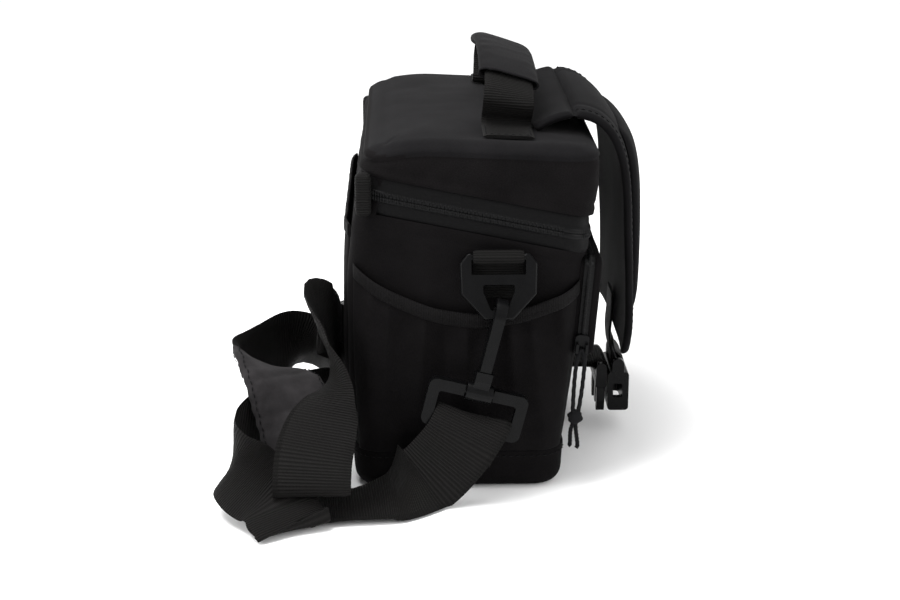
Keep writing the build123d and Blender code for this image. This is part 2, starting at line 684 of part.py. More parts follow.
# ---- Shoulder strap: flat webbing 38 mm wide, kept here as a round tube of about the same section ---------------
STRAP_ROUND, PAD_ROUND = 9.3, 18.0
strap_route = (
    (-109.5, -4.8, 38.2), (-110, 0, 24), (-113, 13, 15.5), (-119.5, 36, 9.5), (-128, 60, 6), (-136, 83, 5.5),
    (-135, 104, 9), (-121, 113, 19), (-102, 110, 27), (-82, 103, 32), (-60, 88, 32), (-38, 76, 30), (-14, 67, 27),
    (10, 66, 28), (25, 76, 36), (8, 92, 46), (-20, 104, 47), (-45, 111, 50), (-66, 103, 57), (-86, 88, 54),
    (-98, 80, 38), (-109, 79, 17), (-115, 75, 7), (-121, 69, 10.5), (-120, 68, 25), (-113, 65, 47), (-103, 61, 64),
    (-95, 66, 79), (-82, 69, 88), (-66, 65.5, 84), (-48, 64.5, 75), (-27, 64.5, 67), (-3, 64.5, 59), (20, 64.5, 50),
    (42, 65, 40), (60, 65, 30), (102, 63.5, 21), (114, 42, 20), (116, 20, 21), (110.5, 0.5, 24), (109.5, -4.8, 38.2),
)
PAD_FIRST, PAD_LAST = 18, 20        # the pad's points, counted along the route
ADJUSTER_RUN, ADJUSTER_LONG = 35, 20.0
strap_radii = arc_radii(strap_route)
print("strap radii", [round(radius, 1) for radius in strap_radii])


def along_run(run, share):
    """The place at a share of the way along one run of the strap's route."""
    start, end = Vector(*strap_route[run]), Vector(*strap_route[run + 1])
    return start + (end - start) * share


def strap_tube(start, first, last, end, width):
    """A round tube from start, round the route's points first to last, and on to end."""
    corners = [start, *(Vector(*strap_route[index]) for index in range(first, last + 1)), end]
    with BuildPart() as tube:
        with BuildLine() as path:
            FilletPolyline(*corners, radius=strap_radii[first - 1:last])
        with BuildSketch(Plane(origin=path.line @ 0, z_dir=path.line % 0)):
            Circle(width / 2)
        sweep()
    length = sum(edge.length for edge in path.edges())
    print("strap tube", round(length, 1), "volume share", tube.part.volume / (length * math.pi * width ** 2 / 4))
    return tube.part


adjuster_run = (Vector(*strap_route[ADJUSTER_RUN + 1]) - Vector(*strap_route[ADJUSTER_RUN])).length
adjuster_share = ADJUSTER_LONG / adjuster_run / 2
adjuster_start = along_run(ADJUSTER_RUN, 0.5 - adjuster_share)
adjuster_end = along_run(ADJUSTER_RUN, 0.5 + adjuster_share)
route_start, route_end = Vector(*strap_route[0]), Vector(*strap_route[-1])
pad_start, pad_end = along_run(PAD_FIRST - 1, 0.5), along_run(PAD_LAST, 0.5)
save(strap_tube(route_start, 1, PAD_FIRST - 1, pad_start, STRAP_ROUND), "strap_near")
save(strap_tube(pad_start, PAD_FIRST, PAD_LAST, pad_end, PAD_ROUND), "shoulder_pad")
save(strap_tube(pad_end, PAD_LAST + 1, ADJUSTER_RUN, adjuster_start, STRAP_ROUND), "strap_far")
save(strap_tube(adjuster_end, ADJUSTER_RUN + 1, len(strap_route) - 2, route_end, STRAP_ROUND), "strap_end")

# Three-bar adjuster, standing on edge with the webbing behind the bag
adjuster_plane = Plane(origin=adjuster_start, x_dir=Vector(0, 0, 1).cross(adjuster_end - adjuster_start),
                       z_dir=adjuster_end - adjuster_start)
with BuildPart() as strap_adjuster:
    with BuildSketch(adjuster_plane):
        RectangleRounded(4.0, 37.0, 1.6)
    extrude(amount=ADJUSTER_LONG)
    slots = Plane(origin=(adjuster_start + adjuster_end) / 2, x_dir=adjuster_end - adjuster_start,
                  z_dir=adjuster_plane.x_dir)
    with BuildSketch(slots.offset(-5)):
        with Locations((5.2, 0), (-5.2, 0)):
            RectangleRounded(4.4, 30.0, 1.0)
    extrude(amount=10, mode=Mode.SUBTRACT)
save(strap_adjuster.part, "strap_adjuster")
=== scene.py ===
"""Looks of the padded shoulder bag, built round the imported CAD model.

Places are in the shared frame: +X along the bag, -Y its front, +Z up. Shapes are worked out in millimetres
and scaled once, when a mesh is made; the strap's route, the camera and the lights are in metres.
"""

import math

import bmesh
import bpy
import numpy as np
from mathutils import Matrix, Vector, noise


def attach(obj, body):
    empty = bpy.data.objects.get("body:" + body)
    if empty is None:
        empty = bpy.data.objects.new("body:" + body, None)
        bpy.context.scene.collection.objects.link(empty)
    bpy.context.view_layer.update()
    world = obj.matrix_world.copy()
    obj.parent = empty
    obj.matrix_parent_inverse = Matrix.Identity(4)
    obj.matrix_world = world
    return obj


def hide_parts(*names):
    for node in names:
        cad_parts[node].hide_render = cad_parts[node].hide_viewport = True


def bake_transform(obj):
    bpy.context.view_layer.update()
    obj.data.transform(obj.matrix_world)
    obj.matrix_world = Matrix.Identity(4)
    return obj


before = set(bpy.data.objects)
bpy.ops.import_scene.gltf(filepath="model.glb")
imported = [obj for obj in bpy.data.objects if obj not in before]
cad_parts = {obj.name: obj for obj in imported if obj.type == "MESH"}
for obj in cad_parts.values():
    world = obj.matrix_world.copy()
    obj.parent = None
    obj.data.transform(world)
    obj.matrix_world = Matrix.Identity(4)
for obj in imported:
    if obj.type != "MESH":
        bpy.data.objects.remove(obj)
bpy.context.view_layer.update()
MM = 0.001

# ---- Driving dimensions of the bag, in millimetres -----------------------------------------------
WALLS = np.array((
    (0, -53.5, 52.5, 91.5), (21, -53.5, 52.5, 91.5), (70, -58.7, 54.5, 92.5), (110, -61.7, 54.3, 92.5),
    (142, -67.0, 51.5, 92.5), (168, -69.5, 46.5, 92.5), (196, -69.5, 40.0, 92.5)))
CORNER = 14.0
BASE_TOP = 21.0
ZIP_Y, ZIP_Z, ZIP_SLOPE, TAPE = -19.0, 143.0, 0.2, 9.2
ZIP_END_Y = 44.0
COIL_PITCH = 1.25
HINGE = (0.0, 51.4, 157.08)
FLAP_HINGE = (0.0, -42.0, 184.0)


# ---- Meshes --------------------------------------------------------------------------------------
def wall_at(z):
    """Front, back and half length of the walls at one height, eased between the design rows."""
    near = np.array([z - 9, z - 3, z + 3, z + 9])
    return [float(np.mean(np.interp(near, WALLS[:, 0], WALLS[:, column]))) for column in (1, 2, 3)]


def zip_height(y):
    """Height of the lid zip's middle."""
    return ZIP_Z + ZIP_SLOPE * (y - ZIP_Y)


def roof_height(y):
    return 180.5 + 0.045 * (y + 9)


def columns(ends=30, longs=40, corner=7):
    """Places round the outline, as (side, share): right end, front, left end, back, each then its corner."""
    places = []
    for side, count in enumerate((ends, longs, ends, longs)):
        places += [(side, i / count) for i in range(count)]
        places += [(side + 0.5, i / corner) for i in range(corner)]
    return places


def outline_point(place, z, out=0.0, corner=CORNER):
    """(point, outward direction) at one place round the outline and one height."""
    side, share = place
    front, back, half = wall_at(z)
    corners = ((half - corner, front + corner), (-half + corner, front + corner),
               (-half + corner, back - corner), (half - corner, back - corner))
    if side in (0, 1, 2, 3):
        ways = ((1, 0), (0, -1), (-1, 0), (0, 1))
        way = Vector(ways[int(side)])
        first, last = Vector(corners[(int(side) + 3) % 4]), Vector(corners[int(side)])
        flat = first.lerp(last, share) + way * (corner + out)
    else:
        middle = Vector(corners[int(side)])
        angle = -math.pi / 2 * (share + int(side))
        way = Vector((math.cos(angle), math.sin(angle)))
        flat = middle + way * (corner + out)
    return Vector((flat.x, flat.y, z)), Vector((way.x, way.y, 0))


def ripple(point, size, seed=0.0):
    """Smooth noise from -1 to 1 with features about size millimetres wide."""
    return noise.noise(Vector((point[0] + seed, point[1] - seed, point[2] + 3 * seed)) / size)


def new_object(name, mesh):
    made = bpy.data.objects.new(name, mesh)
    bpy.context.scene.collection.objects.link(made)
    return made


def mesh_object(name, points, faces, uvs=None):
    """A mesh object from points in millimetres, with a UV in metres for each point if given."""
    mesh = bpy.data.meshes.new(name)
    mesh.from_pydata([Vector(point) * MM for point in points], [], faces)
    if uvs is not None:
        layer = mesh.uv_layers.new(name="UVMap")
        for loop in mesh.loops:
            layer.data[loop.index].uv = Vector(uvs[loop.vertex_index]) * MM
    mesh.validate()
    return new_object(name, mesh)


def heading(line, i):
    """Direction of a line at its point i."""
    return (line[min(i + 1, len(line) - 1)] - line[max(i - 1, 0)]).normalized()


def frame_at(point, along, wish):
    """(point, along, across, face direction), with across as near to wish as it can be square to along."""
    across = (wish - along * wish.dot(along)).normalized()
    return point, along, across, along.cross(across)


def grid(name, rows, wrap=False, ends=False):
    """A quad mesh through rows of points; wrap closes each row, ends caps the first and last row."""
    count = len(rows[0])
    points = [point for row in rows for point in row]
    faces = []
    for i in range(len(rows) - 1):
        for j in range(count if wrap else count - 1):
            k = (j + 1) % count
            faces.append((i * count + j, i * count + k, (i + 1) * count + k, (i + 1) * count + j))
    if ends:
        faces.append(tuple(range(count))[::-1])
        faces.append(tuple((len(rows) - 1) * count + j for j in range(count)))
    uvs = []
    along = 0.0
    for i, row in enumerate(rows):
        if i:
            middle = count // 2
            along += (Vector(row[middle]) - Vector(rows[i - 1][middle])).length
        across = 0.0
        for j, point in enumerate(row):
            if j:
                across += (Vector(point) - Vector(row[j - 1])).length
            uvs.append((along, across))
    return mesh_object(name, points, faces, uvs)


def join(name, parts):
    """Several objects as one mesh object."""
    joined = bmesh.new()
    joined.loops.layers.uv.new("UVMap")
    for part in parts:
        joined.from_mesh(part.data)
        bpy.data.objects.remove(part)
    mesh = bpy.data.meshes.new(name)
    joined.to_mesh(mesh)
    joined.free()
    return new_object(name, mesh)


def tidy_normals(piece):
    work = bmesh.new()
    work.from_mesh(piece.data)
    bmesh.ops.remove_doubles(work, verts=work.verts, dist=1e-6)
    bmesh.ops.recalc_face_normals(work, faces=work.faces)
    work.to_mesh(piece.data)
    work.free()


def apply_modifiers(piece):
    evaluated = piece.evaluated_get(bpy.context.evaluated_depsgraph_get())
    mesh = bpy.data.meshes.new_from_object(evaluated)
    piece.modifiers.clear()
    piece.data = mesh


def thicken(piece, thickness, smooth):
    """Gives a sheet its thickness inwards, then rounds it by subdivision."""
    solid = piece.modifiers.new("thickness", "SOLIDIFY")
    solid.thickness = thickness * MM
    solid.offset = -1
    solid.use_even_offset = True
    subdivide(piece, smooth)


def subdivide(piece, levels=1):
    if levels:
        finer = piece.modifiers.new("finer", "SUBSURF")
        finer.levels = finer.render_levels = levels
    apply_modifiers(piece)


def finish_piece(piece, material, body, replaced=(), sharp=60):
    """Shading, material and body of one finished piece, with the CAD parts it replaces hidden."""
    piece.data.shade_smooth()
    piece.data.set_sharp_from_angle(angle=math.radians(sharp))
    piece.data.materials.clear()
    piece.data.materials.append(material)
    if isinstance(body, str):
        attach(piece, body)
    else:
        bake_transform(piece)
    if replaced:
        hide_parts(*replaced)
    return piece


def shaped(name, rows, wrap=True, thick=0.0, smooth=0):
    """A mesh from rows of points: a sheet as thick as asked, or a closed solid where thick is 0."""
    piece = grid(name, rows, wrap=wrap, ends=not thick)
    tidy_normals(piece)
    if thick:
        thicken(piece, thick, smooth)
    elif smooth:
        subdivide(piece, smooth)
    return piece


def mirrored(piece, name):
    """A copy of a piece at the right end."""
    work = bmesh.new()
    work.from_mesh(piece.data)
    bmesh.ops.transform(work, matrix=Matrix.Scale(-1, 4, (1, 0, 0)), verts=work.verts)
    bmesh.ops.reverse_faces(work, faces=work.faces)
    mesh = bpy.data.meshes.new(name)
    work.to_mesh(mesh)
    work.free()
    return new_object(name, mesh)


def at_both_ends(piece, material, node, sharp=60):
    """Finishes a piece of the left end, and its mirror image for the right end."""
    finish_piece(piece, material, "root", (node,), sharp)
    other = mirrored(piece, piece.name.replace("left", "right"))
    finish_piece(other, material, "root", (node.replace("left", "right"),), sharp)


def oval(angle, wide, tall, wide_power, tall_power):
    """A point of a squared oval; the lower the powers, the squarer it is."""
    c, s = math.cos(angle), math.sin(angle)
    return wide * math.copysign(abs(c) ** wide_power, c), tall * math.copysign(abs(s) ** tall_power, s)


# ---- Materials -----------------------------------------------------------------------------------
class Nodes:
    """Short names for building one material's nodes."""

    def __init__(self, name):
        self.material = bpy.data.materials.new(name)
        self.material.use_nodes = True
        self.tree = self.material.node_tree
        self.shader = self.tree.nodes["Principled BSDF"]

    def add(self, kind, **values):
        node = self.tree.nodes.new(kind)
        for key, value in values.items():
            if hasattr(node, key):
                setattr(node, key, value)
            else:
                node.inputs[key.replace("_", " ")].default_value = value
        return node

    def link(self, out, to):
        self.tree.links.new(out, to)

    def math(self, operation, first, second):
        node = self.add("ShaderNodeMath", operation=operation)
        for index, value in enumerate((first, second)):
            if isinstance(value, (int, float)):
                node.inputs[index].default_value = value
            else:
                self.link(value, node.inputs[index])
        return node.outputs[0]

    def noise(self, place, **values):
        node = self.add("ShaderNodeTexNoise", **values)
        self.link(place, node.inputs["Vector"])
        return node.outputs["Fac"]

    def wave(self, place, axis, pitch, **values):
        """Stripes about pitch metres apart."""
        node = self.add("ShaderNodeTexWave", wave_type="BANDS", bands_direction=axis, **values)
        node.inputs["Scale"].default_value = 0.314 / pitch
        self.link(place, node.inputs["Vector"])
        return node.outputs["Fac"]

    def bump(self, height, strength, distance):
        node = self.add("ShaderNodeBump", Strength=strength, Distance=distance)
        self.link(height, node.inputs["Height"])
        self.link(node.outputs["Normal"], self.shader.inputs["Normal"])

    def surface(self, **values):
        for key, value in values.items():
            self.shader.inputs[key.replace("_", " ")].default_value = value


def uneven_colour(nodes, place, base, amount, size):
    """Links a gently uneven colour to the shader."""
    ramp = nodes.add("ShaderNodeValToRGB")
    for element, position, sign in zip(ramp.color_ramp.elements, (0.3, 0.7), (-1, 1)):
        element.position = position
        element.color = (*[c * (1 + sign * amount) for c in base], 1)
    nodes.link(nodes.noise(place, Scale=1 / size, Detail=5.0, Roughness=0.6), ramp.inputs["Fac"])
    nodes.link(ramp.outputs["Color"], nodes.shader.inputs["Base Color"])


def fabric(name, base, rough=0.85, sheen=0.01, pitch=0.0007, depth=0.00012, slant=0.35):
    """Woven cloth: crossed threads, fine fuzz, creases and slight unevenness of colour."""
    nodes = Nodes(name)
    place = nodes.add("ShaderNodeTexCoord").outputs["Object"]
    turn = nodes.add("ShaderNodeMapping")
    turn.inputs["Rotation"].default_value = (slant, slant * 0.6, slant)
    nodes.link(place, turn.inputs["Vector"])
    threads = [nodes.wave(turn.outputs["Vector"], axis, pitch, Distortion=0.6, Detail=1.0) for axis in "XYZ"]
    weave = nodes.math("ADD", nodes.math("ADD", threads[0], threads[1]), threads[2])
    fuzz = nodes.noise(place, Scale=900.0, Detail=3.0)
    creases = nodes.noise(place, Scale=70.0, Detail=4.0, Roughness=0.55)
    total = nodes.math("ADD", nodes.math("MULTIPLY", weave, 0.4), nodes.math("MULTIPLY", fuzz, 0.7))
    nodes.bump(nodes.math("ADD", total, nodes.math("MULTIPLY", creases, 2.0)), 0.55, depth)
    uneven_colour(nodes, place, base, 0.25, 0.03)
    nodes.surface(Roughness=rough, Sheen_Weight=sheen, Sheen_Roughness=0.45, Specular_IOR_Level=0.03)
    return nodes.material


def webbing(name, base, pitch=0.0013, rough=0.62, depth=0.00035):
    """Ribbed webbing: ribs across the strap, from the UV that runs along it, with a fine herringbone, and
    painted shade in the rib grooves with painted light on the rib crests.
    """
    nodes = Nodes(name)
    uv = nodes.add("ShaderNodeTexCoord").outputs["UV"]
    ribs = nodes.wave(uv, "X", pitch, Distortion=0.0)
    threads = nodes.wave(uv, "Y", pitch * 0.5, Distortion=1.0)
    nodes.bump(nodes.math("ADD", ribs, nodes.math("MULTIPLY", threads, 0.3)), 0.8, depth)
    # Painted shade and light: the colour is darker in the grooves between the ribs and lighter on the rib
    # crests.
    rib_groove_shade = nodes.add("ShaderNodeMix", data_type="RGBA")
    rib_groove_shade.inputs[6].default_value = (*[c * 0.6 for c in base], 1)
    rib_groove_shade.inputs[7].default_value = (*[c * 1.25 for c in base], 1)
    nodes.link(ribs, rib_groove_shade.inputs[0])
    nodes.link(rib_groove_shade.outputs[2], nodes.shader.inputs["Base Color"])
    nodes.surface(Roughness=rough, Sheen_Weight=0.008, Sheen_Roughness=0.4, Specular_IOR_Level=0.05)
    return nodes.material


def plastic(name, base, rough=0.28):
    """Moulded plastic: satin, with faint handling marks."""
    nodes = Nodes(name)
    place = nodes.add("ShaderNodeTexCoord").outputs["Object"]
    grain = nodes.noise(place, Scale=1600.0, Detail=2.0)
    marks = nodes.noise(place, Scale=220.0, Detail=6.0, Roughness=0.7)
    nodes.bump(nodes.math("ADD", grain, nodes.math("MULTIPLY", marks, 0.6)), 0.25, 0.00005)
    uneven_colour(nodes, place, base, 0.2, 0.008)
    shine = nodes.math("ADD", nodes.math("MULTIPLY", marks, 0.18), rough - 0.08)
    nodes.link(shine, nodes.shader.inputs["Roughness"])
    nodes.surface(Specular_IOR_Level=0.085)
    return nodes.material


def suede(name, base):
    """Brushed pad cloth: matte, mottled, with a soft nap."""
    nodes = Nodes(name)
    place = nodes.add("ShaderNodeTexCoord").outputs["Object"]
    nap = nodes.noise(place, Scale=1500.0, Detail=4.0, Roughness=0.7)
    folds = nodes.noise(place, Scale=90.0, Detail=3.0)
    nodes.bump(nodes.math("ADD", nap, nodes.math("MULTIPLY", folds, 3.0)), 0.7, 0.00025)
    uneven_colour(nodes, place, base, 0.45, 0.014)
    nodes.surface(Roughness=0.95, Sheen_Weight=0.03, Sheen_Roughness=0.6, Specular_IOR_Level=0.08)
    return nodes.material


# The top's nylon is the walls' nylon made lighter: painted light on the lid's roof and the handle wrap, as
# from the lamp above.
TOP_NYLON_PAINTED_LIGHT = fabric("nylon_top_painted_light", (0.0058, 0.0055, 0.006), rough=0.8, sheen=0.02, pitch=0.0008)
TWILL = fabric("nylon_twill", (0.0042, 0.0037, 0.0039), rough=0.75, sheen=0.008, pitch=0.0011, depth=0.0002,
               slant=0.9)
BODY_CLOTH = fabric("nylon_body", (0.0036, 0.0032, 0.0034), rough=0.78, sheen=0.006, pitch=0.0009)
FLAP_CLOTH = fabric("flap_cloth", (0.0038, 0.0036, 0.004), rough=0.76, sheen=0.01, pitch=0.0009)
LINING_CLOTH = fabric("lining_cloth", (0.024, 0.024, 0.0255), rough=0.95, sheen=0.05, pitch=0.0006,
                      depth=0.0002)
BINDING = webbing("elastic_binding", (0.0048, 0.0044, 0.0046), pitch=0.0009, depth=0.0002)
ZIP_TAPE = webbing("zip_tape", (0.0034, 0.0033, 0.0035), pitch=0.0007, rough=0.5, depth=0.0001)
WEBBING = webbing("ribbed_webbing", (0.006, 0.0057, 0.0055))
STRAP_WEBBING = webbing("strap_webbing", (0.0068, 0.0064, 0.0062), pitch=0.00135, depth=0.0005)
THREAD = fabric("thread", (0.0062, 0.0062, 0.0065), pitch=0.0003, depth=0.00003, rough=0.6)
PLASTIC = plastic("satin_plastic", (0.0022, 0.0022, 0.0024))
COIL_PLASTIC = plastic("coil_plastic", (0.0026, 0.0026, 0.0028), rough=0.4)
METAL = plastic("painted_slider", (0.0026, 0.0026, 0.0028), rough=0.3)
SUEDE = suede("pad_suede", (0.0165, 0.0152, 0.016))
CORD = fabric("pull_cord", (0.006, 0.006, 0.0065), pitch=0.0009, depth=0.0002, rough=0.7)


# ---- Camera, light and floor ---------------------------------------------------------------------
def studio():
    """Camera at the end of the bag, white surroundings and soft light from above."""
    scene = bpy.context.scene
    target = Vector((-0.0925, 0.004, 0.102))
    azimuth, elevation, distance = math.radians(268.5), math.radians(18.0), 0.862
    away = Vector((math.sin(azimuth) * math.cos(elevation), -math.cos(azimuth) * math.cos(elevation),
                   math.sin(elevation)))
    camera_data = bpy.data.cameras.new("camera")
    camera_data.lens = 70.0
    camera_data.sensor_width = 36.0
    camera = new_object("camera", camera_data)
    camera.location = target + away * distance
    camera.rotation_euler = (-away).to_track_quat("-Z", "Y").to_euler()
    scene.camera = camera
    scene.view_settings.view_transform = "Standard"
    world = bpy.data.worlds.new("white_room")
    world.use_nodes = True
    world.node_tree.nodes["Background"].inputs["Color"].default_value = (1, 1, 1, 1)
    world.node_tree.nodes["Background"].inputs["Strength"].default_value = 1.0
    scene.world = world
    lights = (("softbox_above", (-0.15, 0.3, 1.0), 13.0, 0.6), ("softbox_left", (-0.8, 1.0, 0.7), 8.0, 0.5),
              ("softbox_front", (-0.6, -1.1, 0.5), 5.0, 0.4))
    for name, place, watts, width in lights:
        lamp = bpy.data.lights.new(name, "AREA")
        lamp.energy = watts
        lamp.size = width
        holder = new_object(name, lamp)
        holder.location = place
        holder.rotation_euler = (Vector((0, 0, 0.1)) - Vector(place)).to_track_quat("-Z", "Y").to_euler()
    floor = mesh_object("floor", [(-4000, -4000, 0), (4000, -4000, 0), (4000, 4000, 0), (-4000, 4000, 0)],
                        [(0, 1, 2, 3)])
    paint = Nodes("floor_paint")
    paint.surface(Base_Color=(0.93, 0.93, 0.93, 1), Roughness=0.9, Specular_IOR_Level=0.1)
    floor.data.materials.append(paint.material)


# ---- Shoulder strap ------------------------------------------------------------------------------
STRAP_ROUTE = (
    (-0.1064, 0.002, 0.026), (-0.1062, -0.002, 0.035), (-0.1068, -0.007, 0.045), (-0.11, -0.008, 0.0485),
    (-0.1132, -0.005, 0.043), (-0.1136, 0.001, 0.032), (-0.115, 0.017, 0.014), (-0.1145, 0.035, 0.0065),
    (-0.116, 0.052, 0.003), (-0.117, 0.07, 0.0025), (-0.122, 0.086, 0.002), (-0.133, 0.086, 0.0016),
    (-0.147, 0.0795, 0.0039), (-0.141, 0.084, 0.008), (-0.131, 0.09, 0.013), (-0.124, 0.102, 0.0185),
    (-0.116, 0.112, 0.028), (-0.102, 0.109, 0.032), (-0.086, 0.103, 0.033), (-0.062, 0.088, 0.032),
    (-0.038, 0.076, 0.029), (-0.014, 0.0665, 0.026), (0.01, 0.0655, 0.028), (0.024, 0.076, 0.036),
    (0.008, 0.092, 0.046), (-0.02, 0.104, 0.047), (-0.045, 0.112, 0.049), (-0.062, 0.104, 0.054),
    (-0.075, 0.093, 0.059), (-0.087, 0.086, 0.054), (-0.097, 0.08, 0.039), (-0.107, 0.0765, 0.024),
    (-0.122, 0.073, 0.016), (-0.133, 0.072, 0.0145), (-0.134, 0.072, 0.023), (-0.127, 0.071, 0.036),
    (-0.114, 0.066, 0.05), (-0.105, 0.059, 0.064), (-0.097, 0.063, 0.077), (-0.088, 0.0725, 0.095),
    (-0.073, 0.0635, 0.085), (-0.054, 0.064, 0.077), (-0.029, 0.064, 0.068), (-0.003, 0.064, 0.059),
    (0.02, 0.064, 0.05), (0.042, 0.064, 0.04), (0.06, 0.065, 0.03), (0.102, 0.0635, 0.021),
    (0.114, 0.042, 0.02), (0.116, 0.02, 0.021), (0.1105, 0.0005, 0.024), (0.1095, -0.0048, 0.0382),
)
# The direction across the strap at each point of its route
STRAP_ACROSS = (
    *[(0, 0.97, 0.24)] * 5,
    (0, 0.96, 0.28), (0.05, 0.9, 0.38), (0.93, 0.35, 0.12), (1, 0.08, 0), (0.9, 0.4, 0),
    (0.3, 0.95, 0), (-0.3, 0.94, 0), (-0.37, 0.93, -0.02), (-0.38, 0.92, -0.08), (-0.42, 0.87, -0.2),
    (-0.4, 0.65, -0.6), (-0.1, 0.2, -0.97), (0, 0, -1), (0, 0, -1), (0, 0, -1),
    (0, 0.3, -0.95), (0.5, 0.5, -0.7), (0.9, 0.3, -0.35), (0.6, 0, -0.8), (0, 0, -1),
    (0, 0, -1), (0, -0.1, -1), (0.2, -0.5, -0.85), (0.35, -0.88, -0.25), (0.15, -0.98, -0.1),
    *[(0, -1, 0)] * 6,
    (-0.35, -0.8, 0.1), (-0.75, -0.35, 0.35), (-0.6, 0.1, 0.65), (-0.1, 0.3, 0.95),
    *[(0, 0, 1)] * 9,
    (0, 0.35, 0.93), (0, 0.8, 0.55), (0, 0.97, 0.24),
)
STRAP_WIDE, STRAP_THICK = 0.038, 0.0019
STRAP_CLEAR = 0.0014                # least height of the strap's edges over the floor
PAD_FROM, PAD_TO = 26.8, 31.9       # the padded stretch, counted in route points
FLOOR_FROM, FLOOR_TO = 8, 49        # between these the strap doesn't move with a loop


def strap_line():
    """Points along the strap's NURBS line, and each one's place counted in route points."""
    curve = bpy.data.curves.new("strap_line", "CURVE")
    curve.dimensions = "3D"
    curve.resolution_u = 8
    spline = curve.splines.new("NURBS")
    spline.points.add(len(STRAP_ROUTE) - 1)
    for point, place in zip(spline.points, STRAP_ROUTE):
        point.co = (*place, 1)
    spline.order_u = 3
    spline.use_endpoint_u = True
    holder = new_object("strap_line", curve)
    bpy.context.view_layer.update()
    mesh = bpy.data.meshes.new_from_object(holder.evaluated_get(bpy.context.evaluated_depsgraph_get()))
    line = [vertex.co.copy() for vertex in mesh.vertices]
    bpy.data.objects.remove(holder)
    spans = len(STRAP_ROUTE) - 2
    centres = [0.0] + [i - 0.5 for i in range(1, spans + 1)] + [float(spans)]
    shares = [np.interp(spans * i / (len(line) - 1), centres, range(len(STRAP_ROUTE)))
              for i in range(len(line))]
    return line, shares


def strap_frames(line, shares):
    """(point, along, across, face direction) at each point of the strap's line."""
    across_rows = np.array(STRAP_ACROSS, float)
    frames = []
    for i, (point, share) in enumerate(zip(line, shares)):
        wish = Vector([float(np.interp(share, range(len(STRAP_ACROSS)), column)) for column in across_rows.T])
        _, along, across, face = frame_at(point, heading(line, i), wish)
        low = abs(across.z) * STRAP_WIDE / 2 + STRAP_CLEAR - point.z
        frames.append((point + Vector((0, 0, max(0.0, low))), along, across, face))
    return frames


def ribbon(name, frames, half_width, half_thick, across_count=14, lift=lambda i, v: 0.0):
    """A flat band with rounded edges; half_width and half_thick are functions of the row's number."""
    rows = []
    for i, (point, along, across, face) in enumerate(frames):
        upper, lower = [], []
        for j in range(across_count + 1):
            v = -1 + 2 * j / across_count
            round_edge = math.sqrt(max(0.0, 1 - abs(v) ** 8))
            spot = point + across * (v * half_width(i)) + face * lift(i, v)
            upper.append((spot + face * half_thick(i, v) * round_edge) / MM)
            lower.append((spot - face * half_thick(i, v) * round_edge) / MM)
        rows.append(upper + lower[::-1][1:-1])
    return shaped(name, rows)


def shoulder_strap():
    """The strap's webbing, in three stretches so that its ends follow the loops, and the pad round it."""
    line, shares = strap_line()
    frames = strap_frames(line, shares)
    wave = [0.0009 * noise.noise(point * 28) for point, *_ in frames]
    bands, paths = [], []
    stretches = (
        ("strap_at_left_loop", 0, FLOOR_FROM, (),
         ("root", "clip_left", (-0.115, 0.03, 0.006), (-0.110, -0.004, 0.040))),
        ("shoulder_strap", FLOOR_FROM, FLOOR_TO, ("strap_near", "strap_far"), "root"),
        ("strap_at_right_loop", FLOOR_TO, len(STRAP_ROUTE), ("strap_end",),
         ("root", "clip_right", (0.116, 0.02, 0.021), (0.110, -0.004, 0.040))),
    )
    for name, first, last, replaced, body in stretches:
        places = [i for i, share in enumerate(shares) if first <= share <= last]
        places += [places[-1] + 1] * (places[-1] + 1 < len(line))

        def lift(i, v, start=places[0]):
            spot = frames[start + i][0]
            return wave[start + i] * v ** 2 + 0.0007 * noise.noise(spot * 45 + Vector((v, 0, 0))) * abs(v)

        band = ribbon(name, [frames[i] for i in places], lambda i: STRAP_WIDE / 2,
                      lambda i, v: STRAP_THICK / 2, lift=lift)
        bands.append(finish_piece(band, STRAP_WEBBING, body, replaced))
        paths.append([line[i] for i in places])

    inside = [i for i, share in enumerate(shares) if PAD_FROM <= share <= PAD_TO]
    pad_frames = [frames[i] for i in inside]
    last = len(pad_frames) - 1

    def pad_half(i):
        ends = min(i, last - i) / 4
        return 0.0205 * min(1.0, 0.93 + 0.07 * ends) + 0.0004 * math.sin(i * 1.7)

    def pad_thick(i, v):
        ends = min(1.0, 0.45 + min(i, last - i) / 5)
        crease = 1 - 0.25 * math.exp(-((i % 9) - 4) ** 2 / 1.2)
        return 0.0038 * ends * crease * (1 - 0.35 * abs(v) ** 5)

    pad = ribbon("shoulder_pad_cover", pad_frames, pad_half, pad_thick, across_count=18,
                 lift=lambda i, v: 0.0006 * noise.noise(pad_frames[i][0] * 120 + Vector((0, v * 2, 0))))
    subdivide(pad, 1)
    finish_piece(pad, SUEDE, "root", ("shoulder_pad",), sharp=70)
    edge_stitches = []
    for side in (-1, 1):
        for facing in (-1, 1):
            edge_stitches.append([
                ((point + across * side * (pad_half(i) - 0.0028) +
                  face * facing * (pad_thick(i, 0.85) - 0.0002)) / MM, face * facing)
                for i, (point, along, across, face) in enumerate(pad_frames)])
    threads = stitches("shoulder_pad_stitches", edge_stitches, "root")
    return bands, pad, threads, paths


# ---- Stitches ------------------------------------------------------------------------------------
STITCH_LONG, STITCH_GAP, STITCH_THICK = 2.4, 1.1, 0.32


